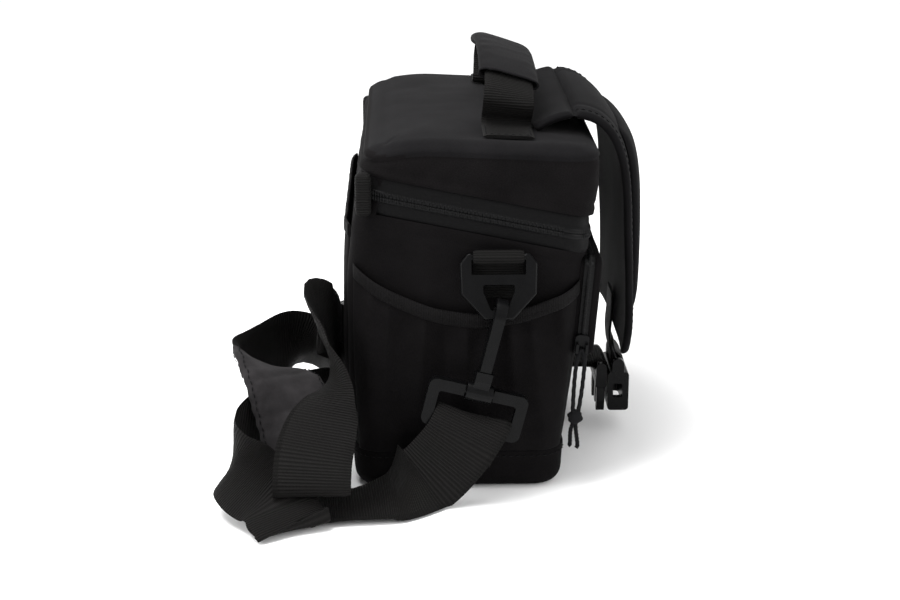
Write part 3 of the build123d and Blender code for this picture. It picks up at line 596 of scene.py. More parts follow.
def stitches(name, paths, body, sink=0.0):
    """A piece of short raised threads along each path of (point, outward direction)."""
    points, faces = [], []
    for path in paths:
        places = [Vector(p) for p, _ in path]
        ways = [Vector(w).normalized() for _, w in path]
        lengths = [0.0]
        for a, b in zip(places, places[1:]):
            lengths.append(lengths[-1] + (b - a).length)
        if lengths[-1] < STITCH_LONG:
            continue

        def at(distance):
            k = min(int(np.searchsorted(lengths, distance, side="right")) - 1, len(places) - 2)
            share = (distance - lengths[k]) / max(lengths[k + 1] - lengths[k], 1e-9)
            return places[k].lerp(places[k + 1], share), ways[k].lerp(ways[k + 1], share).normalized()

        start = 0.6
        while start + STITCH_LONG < lengths[-1]:
            base = len(points)
            for step, (share, lift, size) in enumerate(((0, -0.15, 0.3), (0.2, 0.12, 0.85), (0.5, 0.2, 1.0),
                                                       (0.8, 0.12, 0.85), (1, -0.15, 0.3))):
                spot, up = at(start + share * STITCH_LONG)
                ahead, _ = at(min(start + share * STITCH_LONG + 0.2, lengths[-1]))
                along = (ahead - spot).normalized() if (ahead - spot).length > 1e-6 else Vector((1, 0, 0))
                side = along.cross(up).normalized()
                for corner in range(6):
                    turn = corner * math.pi / 3
                    points.append(spot + up * (lift - sink) + (side * math.cos(turn) + up * math.sin(turn)) *
                                  STITCH_THICK * size)
            for ring in range(4):
                for corner in range(6):
                    nxt = (corner + 1) % 6
                    faces.append((base + ring * 6 + corner, base + ring * 6 + nxt, base + ring * 6 + 6 + nxt,
                                  base + ring * 6 + 6 + corner))
            faces.append(tuple(base + corner for corner in range(6))[::-1])
            faces.append(tuple(base + 24 + corner for corner in range(6)))
            start += STITCH_LONG + STITCH_GAP
    made = mesh_object(name, points, faces)
    tidy_normals(made)
    return finish_piece(made, THREAD, body, sharp=40)


# ---- The box -------------------------------------------------------------------------------------
def soft_wall(point, way, z_share, puff):
    """How far a wall's cloth stands out: puffed between its seams, with gentle unevenness."""
    rise = math.sin(math.pi * min(max(z_share, 0.0), 1.0)) ** 0.6
    if abs(way.x) > 0.9:
        middle = 1 - abs((point.y + 6) / 60) ** 3
    else:
        middle = 1 - abs(point.x / 95) ** 4
    return puff * rise * max(0.0, middle) + 0.55 * ripple(point, 38) + 0.28 * ripple(point, 15, 7)


def body_top(y):
    return zip_height(y) - TAPE * 1.02


def body_cover():
    """The walls: cloth over foam from the base seam to the zip."""
    rows = []
    places = columns()
    steps = 44
    for step in range(steps + 3):
        share = min(step / steps, 1.0)
        row = []
        for place in places:
            rough_point, _ = outline_point(place, 21 + share * 110)
            top = body_top(rough_point.y)
            z = BASE_TOP - 0.4 + share * (top - BASE_TOP + 0.4)
            point, way = outline_point(place, z)
            out = soft_wall(point, way, share, 1.6) - 0.2
            edge = (1 - share) * (top - BASE_TOP)
            out += 0.7 * math.exp(-((edge - 1.6) / 1.3) ** 2) - 0.5 * math.exp(-((edge - 5.0) / 1.6) ** 2)
            out -= 0.9 * math.exp(-(share * 110 / 2.2) ** 2)
            inward = max(0, step - steps)
            row.append(point + way * (out - 1.1 * inward) + Vector((0, 0, -0.6 * inward)))
        rows.append(row)
    finish_piece(shaped("body_cover", rows, thick=0.9), BODY_CLOTH, "root", ("body_shell",))


def base_cover():
    """The base: a tougher panel that wraps round the lower edge, sewn to the walls."""
    rows = []
    places = columns()
    rounding = 8.0
    profile = [(BASE_TOP + 0.8, -0.9), (BASE_TOP + 0.9, 0.2), (BASE_TOP + 0.2, 0.75), (BASE_TOP - 1.2, 0.8),
               (BASE_TOP - 3.5, 0.55), (BASE_TOP - 7, 0.5), (12, 0.4), (10, 0.3), (8.2, 0.1)]
    for k in range(1, 9):
        angle = math.pi / 2 * k / 8
        profile.append((rounding - rounding * math.sin(angle), -rounding + rounding * math.cos(angle)))
    for z, out in profile:
        row = []
        for place in places:
            point, way = outline_point(place, max(z, 0.0))
            wobble = 0.35 * ripple(point, 26, 3) if z > 1 else 0.0
            row.append(Vector((point.x, point.y, z)) + way * (out + wobble))
        rows.append(row)
    for share in (0.8, 0.5, 0.2, 0.02):
        rows.append([Vector((p.x * share, (p.y + 0.5) * share - 0.5, 0.25 * (1 - share))) for p in rows[16]])
    finish_piece(shaped("base_cover", rows, thick=1.2), BODY_CLOTH, "root", ("base_panel",))
    seam = []
    for place in places + places[:1]:
        point, way = outline_point(place, BASE_TOP - 2.6)
        seam.append((point + way * 0.75, way))
    stitches("base_stitches", [seam], "root")


def back_drop(y):
    """How far the roof falls towards the back."""
    return 4.5 * max(0.0, min(1.0, (y - 12) / 30)) ** 2


def lid_cover():
    """The lid: side band, a sewn roof edge and a padded roof."""
    places = columns()
    profile = [("wall", k / 12) for k in range(13)]
    profile += [("round", k / 7) for k in range(1, 8)]
    profile += [("roof", k / 12) for k in range(1, 13)]
    rows = []
    rounding = 10.0
    for kind, share in profile:
        row = []
        for place in places:
            rough_point, _ = outline_point(place, 160)
            low = zip_height(rough_point.y) + TAPE * 1.02
            high = roof_height(rough_point.y) - rounding * 0.72
            high -= back_drop(rough_point.y)
            if kind == "wall":
                z = low + share * (high - low)
                point, way = outline_point(place, z)
                edge = share * (high - low)
                out = 0.9 * math.exp(-((edge - 1.2) / 1.4) ** 2) - 0.5 * math.exp(-((edge - 4.6) / 1.6) ** 2)
                slack = ripple((point.x, point.y * 1.2 + z * 1.4, point.z * 0.5), 9, 5)
                out += 0.9 * math.sin(math.pi * share) + 0.75 * slack * math.sin(math.pi * share)
                out += 0.4 * ripple(point, 30)
                seam = math.exp(-((1 - share) * (high - low) / 1.2) ** 2)
                row.append(point + way * (out - 0.5 * seam))
            elif kind == "round":
                point, way = outline_point(place, high)
                angle = math.pi / 2 * share
                welt = 0.75 * math.exp(-((share - 0.22) / 0.14) ** 2)
                across = rounding * (1 - math.cos(angle))
                up = rounding * 0.72 * math.sin(angle)
                row.append(point - way * (across - welt) + Vector((0, 0, up + 0.4 * welt)))
            else:
                edge_point, way = outline_point(place, high)
                edge_point = edge_point - way * rounding
                middle = Vector((edge_point.x * 0.35, -12, 0))
                spot = Vector((edge_point.x, edge_point.y, 0)).lerp(middle, share)
                if share > 0.99:
                    spot = Vector((edge_point.x * 0.35, -12 + (edge_point.y + 12) * 0.02, 0))
                crown = 1.6 * (1 - (1 - share) ** 2)
                dimple = -1.2 * math.exp(-((spot.y + 25) / 14) ** 2 - ((abs(spot.x) - 66) / 16) ** 2)
                z = (roof_height(spot.y) - back_drop(spot.y) + crown + 0.45 * ripple(spot, 34, 2) +
                     0.25 * ripple(spot, 14, 9) + dimple)
                row.append(Vector((spot.x, spot.y, z)))
        rows.append(row)
    cover = grid("lid_cover", rows, wrap=True)
    cover_mesh = bmesh.new()
    cover_mesh.from_mesh(cover.data)
    rim = {vert for edge in cover_mesh.edges if edge.is_boundary and edge.verts[0].co.z > 0.172
           for vert in edge.verts}
    in_order = [vert for vert in cover_mesh.verts if vert in rim]
    bmesh.ops.remove_doubles(cover_mesh, verts=in_order, dist=0.0012)
    holes = [edge for edge in cover_mesh.edges if edge.is_boundary and edge.verts[0].co.z > 0.172]
    bmesh.ops.holes_fill(cover_mesh, edges=holes, sides=0)
    cover_mesh.to_mesh(cover.data)
    cover_mesh.free()
    tidy_normals(cover)
    thicken(cover, 0.9, 0)
    # The roof takes the lighter top nylon, which is painted light from above; the side band takes the twill.
    finish_piece(cover, TOP_NYLON_PAINTED_LIGHT, "lid", ("lid_shell",))
    cover.data.materials.append(TWILL)
    for face in cover.data.polygons:
        y, z = face.center.y / MM, face.center.z / MM
        if z < roof_height(y) - 7.4:
            face.material_index = 1


def zip_half(name, side, body, replaced):
    """One zip tape with its coil: side is -1 on the body and 1 on the lid."""
    path = [place for place in columns(ends=190, longs=300, corner=34)
            if place[0] != 3 and outline_point(place, 150)[0].y <= ZIP_END_Y]
    profile = [(9.6, -1.3), (8.6, -0.75), (6.5, -0.45), (4.2, -0.4), (3.0, -0.45), (2.75, -0.2), (2.5, 0.35),
               (1.7, 0.62), (0.7, 0.55), (0.12, 0.2), (0.12, -0.7), (2.6, -1.2), (6.0, -1.4)]
    rows = []
    travelled, last = 0.0, None
    for place in path:
        point, way = outline_point(place, 150)
        middle = Vector((point.x, point.y, zip_height(point.y)))
        point, way = outline_point(place, middle.z)
        if last is not None:
            travelled += (point - last).length
        last = point
        tooth = 0.5 + 0.5 * math.cos(2 * math.pi * travelled / COIL_PITCH)
        row = []
        for height, out in profile:
            coil = tooth if height < 2.8 and out > -0.3 else 0.0
            reach = out - 0.45 * (1 - coil) * (1 if out > 0.05 else 0)
            row.append(Vector((point.x, point.y, middle.z)) + way * (reach + 0.25 * ripple(point, 30, 4)) +
                       Vector((0, 0, side * height * 1.02)))
        rows.append(row)
    tape = finish_piece(shaped(name, rows), ZIP_TAPE, body, replaced, sharp=50)
    tape.data.materials.append(COIL_PLASTIC)
    for face in tape.data.polygons:
        middle = face.center / MM
        if abs(middle.z - zip_height(middle.y)) < 2.9:
            face.material_index = 1


def hinge_cloth():
    """Cloth across the lid's fold, from the walls to the lid along the back."""
    rows = []
    backs = [place for place in columns() if outline_point(place, 150)[0].y > 38.5]
    backs.sort(key=lambda place: outline_point(place, 150)[0].x)
    for step in range(9):
        share = step / 8
        row = []
        for place in backs:
            point, way = outline_point(place, 150)
            z = zip_height(point.y) + (share * 2 - 1) * (TAPE + 1.5)
            point, way = outline_point(place, z)
            crease = -0.9 * math.exp(-((share - 0.5) / 0.16) ** 2)
            row.append(point + way * (0.1 + crease + 0.3 * ripple(point, 22, 6)))
        rows.append(row)
    cloth = shaped("lid_hinge_cloth", rows, wrap=False, thick=0.8, smooth=1)
    low, high = (0, HINGE[1] * MM, (HINGE[2] - 8) * MM), (0, HINGE[1] * MM, (HINGE[2] + 8) * MM)
    finish_piece(cloth, BODY_CLOTH, ("root", "lid", low, high), ("hinge_piping",))


def lid_and_room_linings():
    """The padded lining of the main room and of the lid, and the two dividers."""
    places = columns(ends=20, longs=28, corner=6)
    rows = []
    for out, drop in ((-2.2, -1.0), (-6.5, -0.6), (-6.9, -4.0), (-6.9, -10)):
        row = []
        for place in places:
            rough_point, _ = outline_point(place, 140)
            z = body_top(rough_point.y) - 0.8 + drop + 0.8
            point, way = outline_point(place, z)
            row.append(point + way * (out + 0.2))
        rows.append(row)
    for share in (0.9, 0.75, 0.6, 0.45, 0.3, 0.15, 0.05):
        row = []
        for place in places:
            rough_point, _ = outline_point(place, 140)
            top = body_top(rough_point.y) - 10
            z = 12.5 + share * (top - 12.5)
            point, way = outline_point(place, z)
            row.append(point + way * (-6.7 + 0.35 * ripple(point, 24, 8) - 0.8 * math.sin(math.pi * share)))
        rows.append(row)
    for share in (0.98, 0.9, 0.6, 0.3, 0.03):
        row = []
        for place in places:
            point, way = outline_point(place, 14)
            inner = point + way * -7.6
            row.append(Vector((inner.x * share, inner.y * share, 11.6 + 0.4 * (1 - share))))
        rows.append(row)
    finish_piece(shaped("room_lining", rows, thick=0.6), LINING_CLOTH, "root",
                 ("lining", "wall_foam", "base_foam", "base_board"))

    rows = []
    for out, rise in ((-2.2, 1.2), (-6.5, 1.0), (-6.9, 4.0), (-6.9, 9.0)):
        row = []
        for place in places:
            rough_point, _ = outline_point(place, 165)
            z = zip_height(rough_point.y) + TAPE + rise
            point, way = outline_point(place, z)
            row.append(point + way * out)
        rows.append(row)
    for share in (1.0, 0.94, 0.7, 0.4, 0.1, 0.02):
        row = []
        for place in places:
            point, way = outline_point(place, 172)
            inner = point + way * -8.5
            z = roof_height(inner.y) - 8.2 - (0.8 if share == 1.0 else 0) - 0.8 * (1 - share)
            row.append(Vector((inner.x * share, (inner.y + 12) * share - 12, z)))
        rows.append(row)
    finish_piece(shaped("lid_lining_cloth", rows, thick=0.6), LINING_CLOTH, "lid", ("lid_lining", "lid_foam"))

    for name, middle in (("divider_left", -30.0), ("divider_right", 30.0)):
        rows = []
        turns = 20
        for step in range(19):
            z = 12.2 + (111.0 - 12.2) * step / 18
            front, back, _ = wall_at(z)
            half_deep = (back - front) / 2 - 8.4
            centre_y = (front + back) / 2
            soft = math.sin(math.pi * min(1.0, (step + 0.8) / 18.6)) ** 0.35
            row = []
            for k in range(turns * 2):
                angle = 2 * math.pi * k / (turns * 2)
                across, deep = oval(angle, 2.7 * soft, half_deep, 0.6, 0.25)
                x, y = middle + across, centre_y + deep
                row.append(Vector((x + 0.2 * ripple((x, y, z), 16, middle), y, z)))
            rows.append(row)
        pad = finish_piece(shaped(name + "_pad", rows), LINING_CLOTH, "root", (name,))


# ---- Pockets -------------------------------------------------------------------------------------
def mouth_height(y):
    """Upper edge of a side pocket's binding."""
    share = (y + 57) / 107.5
    return 110 + 10 * share - 18.5 * math.sin(math.pi * min(max(share, 0), 1)) ** 0.9


# Folds below a side pocket's mouth: place along the mouth, lean, width, height
POCKET_FOLDS = (
    (41, 9, 3.0, 1.6), (33, 5, 2.2, 1.9), (24, 12, 3.4, -1.5), (16, 3, 2.6, 1.8), (7, -4, 3.5, -1.9),
    (-3, -7, 2.8, 1.7), (-14, -2, 3.0, -1.4), (-24, -10, 2.6, 1.6), (-33, -16, 3.2, 2.3),
    (-42, -22, 3.0, -1.6), (-48, -16, 2.4, 1.8))


def pocket_out(y, z):
    """How far a side pocket stands off the wall."""
    depth = mouth_height(y) - 7 - z
    reach = min(max((mouth_height(y) - z) / 85, 0), 1)
    edge = min(1.0, (50.5 - y) / 7, (y + 57) / 7, (z - 21) / 12)
    out = 1.4 + 2.9 * max(0.0, edge) ** 0.7
    fold = 0.0
    for place, lean, width, height in POCKET_FOLDS:
        across = y - (place + lean * reach)
        fade = math.exp(-max(depth, 0) / 48) * min(1.0, (max(depth, 0) + 3) / 9)
        fold += 1.7 * height * fade * math.exp(-(abs(across) / (width * (1 + 1.3 * reach))) ** 1.4)
    return out + fold * max(0.0, min(1.0, edge * 1.4))


def end_wall_x(y, z):
    """Where the left end's outline lies at one depth and height."""
    front, back, half = wall_at(z)
    for corner_y, way in ((front + CORNER, -1), (back - CORNER, 1)):
        past = (y - corner_y) * way
        if past > 0:
            return -half + CORNER - math.sqrt(max(0.0, CORNER ** 2 - past ** 2))
    return -half


POCKET_FRONT, POCKET_DEEP, POCKET_LOW = -57.2, 107.9, 21.4


def side_pockets():
    """The left side pocket and its gathered elastic edge, and their mirror images."""
    rows = []
    tall, wide = 46, 84
    for step in range(tall + 1):
        share = step / tall
        row = []
        for k in range(wide + 1):
            y = POCKET_FRONT + POCKET_DEEP * k / wide
            top = mouth_height(y) - 4.5
            z = POCKET_LOW + share * (top - POCKET_LOW)
            front, back, _ = wall_at(z)
            squeeze = min(max((y - POCKET_FRONT) / POCKET_DEEP, 0), 1)
            real_y = (front + 1.2) + squeeze * (back - 2.2 - front - 1.2)
            out = pocket_out(y, z) + 0.3 * ripple((0, y, z), 9, 11)
            row.append(Vector((end_wall_x(real_y, z) - out, real_y, z)))
        rows.append(row)
    pocket = shaped("side_pocket_left_cloth", rows, wrap=False, thick=0.7, smooth=1)
    at_both_ends(pocket, BODY_CLOTH, "side_pocket_left", 70)

    rows = []
    around = 14
    for k in range(151):
        y = -57.4 + 108.2 * k / 150
        top = mouth_height(y)
        z = top - 3.4
        front, back, _ = wall_at(z)
        real_y = (front + 1.0) + (k / 150) * (back - 2.0 - front - 1.0)
        x = end_wall_x(real_y, z)
        ends = max(0.0, min(1.0, k / 14, (150 - k) / 14))
        pinch = 0.1 * math.sin(k * 1.9) + 0.2 * ripple((0, real_y, z), 9, 13)
        out = 2.3 + 2.9 * ends ** 0.7 + 0.4 * math.sin(k * 0.21)
        row = []
        for j in range(around):
            thick, tall_part = oval(2 * math.pi * j / around, 0.9, 3.6, 0.6, 0.5)
            row.append(Vector((x - out - thick - pinch * 0.5, real_y, z + tall_part + pinch * 0.3)))
        rows.append(row)
    at_both_ends(shaped("side_pocket_left_binding", rows), BINDING, "side_pocket_binding_left")


def back_pocket():
    """Slip pocket on the back wall, slack at its elastic mouth."""
    rows = []
    for step in range(31):
        share = step / 30
        row = []
        for k in range(65):
            x = -76 + 152 * k / 64
            z = 24 + share * (131 - 24)
            _, back, _ = wall_at(z)
            edge = max(0.0, min(1.0, (76 - abs(x)) / 8, (z - 24) / 9))
            fold = 0.9 * ripple((x * 1.6, 0, z * 0.25), 13, 17) * share ** 2
            out = 0.7 + (2.4 + fold) * edge ** 0.7 + 0.35 * ripple((x, 0, z), 30)
            row.append(Vector((x, back + out, z)))
        rows.append(row)
    pocket = shaped("back_pocket_cloth", rows, wrap=False, thick=0.7, smooth=1)
    finish_piece(pocket, BODY_CLOTH, "root", ("back_pocket",), sharp=70)
    rows = []
    for k in range(101):
        x = -76.4 + 152.8 * k / 100
        ends = max(0.0, min(1.0, k / 8, (100 - k) / 8))
        z = 133.4 - 1.2 * math.sin(math.pi * k / 100)
        _, back, _ = wall_at(z)
        pinch = 0.3 * math.sin(k * 1.7) + 0.4 * ripple((x, 0, z), 7, 3)
        row = []
        for j in range(14):
            thick, tall_part = oval(2 * math.pi * j / 14, 0.85, 3.5, 0.6, 0.5)
            row.append(Vector((x, back + 1.2 + 2.1 * ends ** 0.7 + thick + 0.5 * pinch, z + tall_part)))
        rows.append(row)
    finish_piece(shaped("back_pocket_edge", rows), BINDING, "root", ("back_pocket_binding",))


def front_point(x, up, out):
    """A point on the front pocket's plane: x and up from its middle, out from its face."""
    normal, rise = Vector((0, -0.9972, -0.0748)), Vector((0, -0.0748, 0.9972))
    return Vector((0, -63.5, 95)) + Vector((x, 0, 0)) + rise * up + normal * out


def rounded_frame(half_wide, half_tall, corner, count=8, sides=(10, 34)):
    """Points round a rounded rectangle, anticlockwise; sides are the steps up and along it."""
    points = []
    for number, (sx, sy) in enumerate(((1, 1), (-1, 1), (-1, -1), (1, -1))):
        for k in range(count + 1):
            angle = math.radians(90 * number + 90 * k / count)
            points.append((sx * (half_wide - corner) + corner * math.cos(angle),
                           sy * (half_tall - corner) + corner * math.sin(angle)))
        last = points[-1]
        nxt = ((-half_wide + corner, half_tall), (-half_wide, -half_tall + corner),
               (half_wide - corner, -half_tall), (half_wide, half_tall - corner))[number]
        steps = sides[1 - number % 2]
        points += [(last[0] + (nxt[0] - last[0]) * k / steps, last[1] + (nxt[1] - last[1]) * k / steps)
                   for k in range(1, steps)]
    return points


def front_pocket():
    """Front pocket: a soft panel on a gusset, with a zip round the gusset."""
    rows = []
    profile = ((0.0, -4.5), (0.2, -1.5), (0.1, 1.0), (0.0, 3.0), (0.1, 4.8), (-0.2, 5.9), (-1.1, 6.5),
               (-2.6, 6.7))
    for grow, out in profile:
        row = []
        for x, up in rounded_frame(85.6 + grow, 25.6 + grow, 5.0 + min(grow, 0)):
            row.append(front_point(x, up, out + 0.25 * ripple((x, up, out), 14, 21)))
        rows.append(row)
    for share in (0.93, 0.82, 0.66, 0.48, 0.3, 0.12, 0.01):
        row = []
        for x, up in rounded_frame(83.0, 23.0, 4.0):
            bulge = 1.5 * (1 - share ** 3)
            spot = (x * share, up * share)
            row.append(front_point(*spot, 6.6 + bulge + 0.5 * ripple((*spot, 0), 22, 23)))
        rows.append(row)
    finish_piece(shaped("front_pocket_cloth", rows, thick=0.8), BODY_CLOTH, "root", ("front_pocket",))

    path = [(x, up) for x, up in rounded_frame(86.2, 26.2, 5.0, count=16) if up > -24.0]
    split = next(i for i, (a, b) in enumerate(zip(path, path[1:])) if math.dist(a, b) > 30)
    path = path[split + 1:] + path[:split + 1]
    dense = []
    for a, b in zip(path, path[1:]):
        steps = max(1, int(math.dist(a, b) / 0.45))
        dense += [(a[0] + (b[0] - a[0]) * k / steps, a[1] + (b[1] - a[1]) * k / steps) for k in range(steps)]
    rows = []
    travelled = 0.0
    for i, (x, up) in enumerate(dense):
        ahead = dense[min(i + 1, len(dense) - 1)]
        behind = dense[max(i - 1, 0)]
        travelled += math.dist(behind, (x, up))
        along = Vector((ahead[0] - behind[0], ahead[1] - behind[1])).normalized()
        away = Vector((along.y, -along.x))
        tooth = 0.5 + 0.5 * math.cos(2 * math.pi * travelled / COIL_PITCH)
        row = []
        for out, proud in ((-2.6, -0.3), (-2.4, 0.3), (-0.9, 0.45), (-0.6, 0.75 + 0.3 * tooth),
                           (0.1, 1.0 + 0.35 * tooth), (0.8, 0.75 + 0.3 * tooth), (1.1, 0.45), (2.6, 0.3),
                           (2.8, -0.3)):
            row.append(front_point(x + away.x * proud, up + away.y * proud, out))
        rows.append(row)
    finish_piece(shaped("front_pocket_zip_tape", rows), COIL_PLASTIC, "root", ("front_pocket_zip",),
                 sharp=50)


# ---- Flap ----------------------------------------------------------------------------------------
FLAP_LINE = (
    (-38.5, 179.6), (-42, 182.4), (-50, 186.2), (-60, 187.8), (-70, 185.0), (-78, 177.5), (-83.5, 165),
    (-86.5, 148), (-88, 124), (-89.5, 100), (-90.5, 80), (-90.0, 68), (-89.2, 57.5))
FLAP_HALF = 65.5
FLAP_LONG = 150.0


def smooth_line(points, count):
    """Evenly spaced points along a smooth curve through points, by Catmull-Rom."""
    fine = []
    ends = [points[0], *points, points[-1]]
    for a, b, c, d in zip(ends, ends[1:], ends[2:], ends[3:]):
        for k in range(12):
            t = k / 12
            fine.append(tuple(0.5 * (2 * b[n] + (c[n] - a[n]) * t +
                                     (2 * a[n] - 5 * b[n] + 4 * c[n] - d[n]) * t * t +
                                     (3 * b[n] - a[n] - 3 * c[n] + d[n]) * t ** 3) for n in range(len(b))))
    fine.append(points[-1])
    lengths = [0.0]
    for a, b in zip(fine, fine[1:]):
        lengths.append(lengths[-1] + math.dist(a, b))
    wanted = np.linspace(0, lengths[-1], count)
    return [Vector([float(np.interp(w, lengths, [p[n] for p in fine])) for n in range(len(points[0]))])
            for w in wanted]


def flap_spot(line, i, v, lift):
    """A point of the flap: row i down its line, v from -1 to 1 across, lift off its middle surface."""
    along = heading(line, i)
    normal = Vector((along.y, -along.x))
    if normal.x > 0:
        normal = -normal
    down = i / (len(line) - 1)
    half = FLAP_HALF * (1 - 0.02 * math.sin(math.pi * down))
    corner = 15.0
    drop = (1 - down) * FLAP_LONG
    if drop < corner:
        half -= corner - math.sqrt(max(0.0, corner ** 2 - (corner - drop) ** 2))
    bow = 3.6 * (1 - abs(v) ** 2.2) * math.sin(math.pi * min(1.0, down * 1.15)) - 2.2 * abs(v) ** 4 * down
    wave = 0.5 * ripple((v * 60, down * 140, 0), 30, 31)
    lifted = line[i] + normal * (lift + bow + wave)
    return Vector((v * half, lifted.x, lifted.y)), Vector((0, normal.x, normal.y))


def flap():
    """The front flap: an edge band sewn round a raised, padded middle."""
    rows_count, across_count = 58, 48
    line = smooth_line(FLAP_LINE, rows_count)
    rows = []
    for i in range(rows_count):
        down = i / (rows_count - 1)
        upper, lower = [], []
        for k in range(across_count + 1):
            v = -1 + 2 * k / across_count
            side_gap = (1 - abs(v)) * FLAP_HALF
            end_gap = (1 - down) * FLAP_LONG
            gap = min(side_gap, end_gap if down > 0.5 else 99)
            rounding = math.sqrt(max(0.0, 1 - (1 - min(gap / 3.2, 1)) ** 2))
            groove = -0.7 * math.exp(-((gap - 7.5) / 1.0) ** 2) - 0.8 * math.exp(-((gap - 19.5) / 1.6) ** 2)
            top = 2.1 * rounding + groove * (1 if rounding > 0.9 else 0)
            bottom = -(2.2 * rounding)
            upper.append(flap_spot(line, i, v, top)[0])
            lower.append(flap_spot(line, i, v, bottom)[0])
        rows.append(upper + lower[::-1][1:-1])
    cloth = shaped("flap_cover", rows, smooth=1)
    start = (0, (FLAP_HINGE[1] + 2.5) * MM, FLAP_HINGE[2] * MM)
    end = (0, (FLAP_HINGE[1] - 9) * MM, FLAP_HINGE[2] * MM)
    finish_piece(cloth, FLAP_CLOTH, ("lid", "flap", start, end), ("flap",), sharp=70)

    sides = [[flap_spot(line, i, side * (1 - 7.5 / FLAP_HALF), 1.9) for i in range(3, rows_count - 4)]
             for side in (-1, 1)]
    low = [flap_spot(line, rows_count - 4, -0.86 + 1.72 * k / 30, 1.9) for k in range(31)]
    stitches("flap_stitches", sides + [low], ("lid", "flap", start, end))

    rows = []
    first, last = 16, 50
    for i in range(first, last + 1):
        t = (i - first) / (last - first)
        upper, lower = [], []
        for k in range(31):
            v = -1 + 2 * k / 30
            edge = min((1 - abs(v)) * 9, t * 8, (1 - t) * 8, 1.0)
            swell = math.sqrt(max(0.0, 1 - (1 - edge) ** 2))
            crown = 5.6 * (1 - abs(v) ** 2.6 * 0.5) * (1 - 0.45 * (2 * t - 1) ** 4)
            upper.append(flap_spot(line, i, v * 0.69, 2.0 + 0.3 + crown * swell)[0])
            lower.append(flap_spot(line, i, v * 0.69, 1.2)[0])
        rows.append(upper + lower[::-1][1:-1])
    dome = shaped("flap_dome", rows, smooth=1)
    finish_piece(dome, FLAP_CLOTH, "flap", ("flap_pocket",), sharp=70)


# ---- Straps sewn to the bag ----------------------------------------------------------------------
NARROW_HALF = 12.4      # half the width of the ring tabs' and the buckle's webbing


def flat_band(name, centres, across, half_thick):
    """A narrow band through centres (millimetres) with its width along across."""
    line = [Vector(c) * MM for c in centres]
    frames = [frame_at(point, heading(line, i), Vector(across)) for i, point in enumerate(line)]
    return ribbon(name, frames, lambda i: NARROW_HALF * MM, lambda i, v: half_thick * MM)


HANDLE_Y = -25.0


def handle():
    """Grab handle: webbing sewn to the lid at both ends, with a padded wrap that leans forwards."""
    half_line = [(-81, 0.4), (-72, 0.5), (-62, 0.6), (-56, 1.4), (-54.5, 4.2), (-58.5, 8.5), (-61.5, 13.5),
                 (-58.5, 18.8), (-50, 23.0), (-36, 26.2), (-18, 28.2), (0, 28.8)]
    full = half_line + [(-x, up) for x, up in half_line[-2::-1]]
    line = smooth_line(full, 150)
    spots = [Vector((p.x, HANDLE_Y - p.y * 0.06, roof_height(HANDLE_Y) + 0.9 + p.y)) * MM for p in line]
    frames = []
    for i, point in enumerate(spots):
        tilt = 0.045 + 0.26 * min(1.0, max(0.0, (line[i].y - 2) / 16))
        frames.append(frame_at(point, heading(spots, i), Vector((0, 1, tilt)).normalized()))
    strap = ribbon("handle_strap", frames, lambda i: 12.6 * MM, lambda i, v: 0.85 * MM)
    finish_piece(strap, WEBBING, "lid", ("handle_webbing",))
    sewn = []
    for side in (-1, 1):
        for x0, x1 in ((57.5, 58.0), (79.0, 79.5)):
            sewn.append([((side * x0, y, roof_height(y) + 2.4), (0, 0, 1)) for y in np.linspace(-36, -14, 9)])
        for y in (-36.0, -14.0):
            sewn.append([((side * x, y, roof_height(y) + 2.4), (0, 0, 1)) for x in np.linspace(58, 79, 9)])
    stitches("handle_stitches", sewn, "lid", sink=0.35)

    # The wrap: a flattened sleeve round the strap, its overlap edge on top
    wrap_frames = [f for f, p in zip(frames, line) if abs(p.x) < 51.5 and p.y > 15]
    rows = []
    turns = 36
    last = len(wrap_frames) - 1
    for shell, reverse in ((1.0, False), (0.66, True)):
        order = range(last, -1, -1) if reverse else range(last + 1)
        for i in order:
            point, along, width, face = wrap_frames[i]
            ends = min(i, last - i)
            flare = 0.6 * math.exp(-ends / 2.0)
            row = []
            for k in range(turns):
                angle = 2 * math.pi * k / turns
                half_wide = (15.4 + flare) * (1 if not reverse else 0.955)
                wide, tall = oval(angle, half_wide, (3.3 + flare * 0.8) * shell, 0.55, 0.75)
                ragged = 0.9 * ripple((k * 2.1, i, 0), 3.0, 41) * math.exp(-ends / 1.2)
                step_edge = 0.45 if 0.2 < angle < 1.3 and not reverse else 0.0
                bump = 0.35 * ripple((k * 1.5, i * 1.2, 5), 6.0, 43)
                row.append(point / MM + width * wide + face * (-tall - step_edge) + along * ragged +
                           face * bump)
            rows.append(row)
    sleeve = grid("handle_wrap_sleeve", rows + rows[:1], wrap=True)
    tidy_normals(sleeve)
    subdivide(sleeve, 1)
    # The wrap takes the lighter top nylon, which is painted light from above.
    finish_piece(sleeve, TOP_NYLON_PAINTED_LIGHT, "lid", ("handle_wrap",))


def end_tabs():
    """Folded webbing tabs over the ends of the lid zip, ribbed across."""
    rows = []
    for step in range(67):
        t = step / 66
        rib = 0.22 * math.cos(2 * math.pi * t * 13)
        ends = math.sqrt(max(0.0, 1 - abs(2 * t - 1) ** 10))
        row = []
        for k in range(20):
            x, y = oval(2 * math.pi * k / 20, 3.8 * ends + rib * 0.6, 3.9 * ends + rib * 0.4, 0.7, 0.5)
            row.append(Vector((-93.3 + x, 46.0 + y, 145.2 + 21.8 * t)))
        rows.append(row)
    at_both_ends(shaped("zip_tab_left", rows), WEBBING, "zip_end_tab_left", 70)


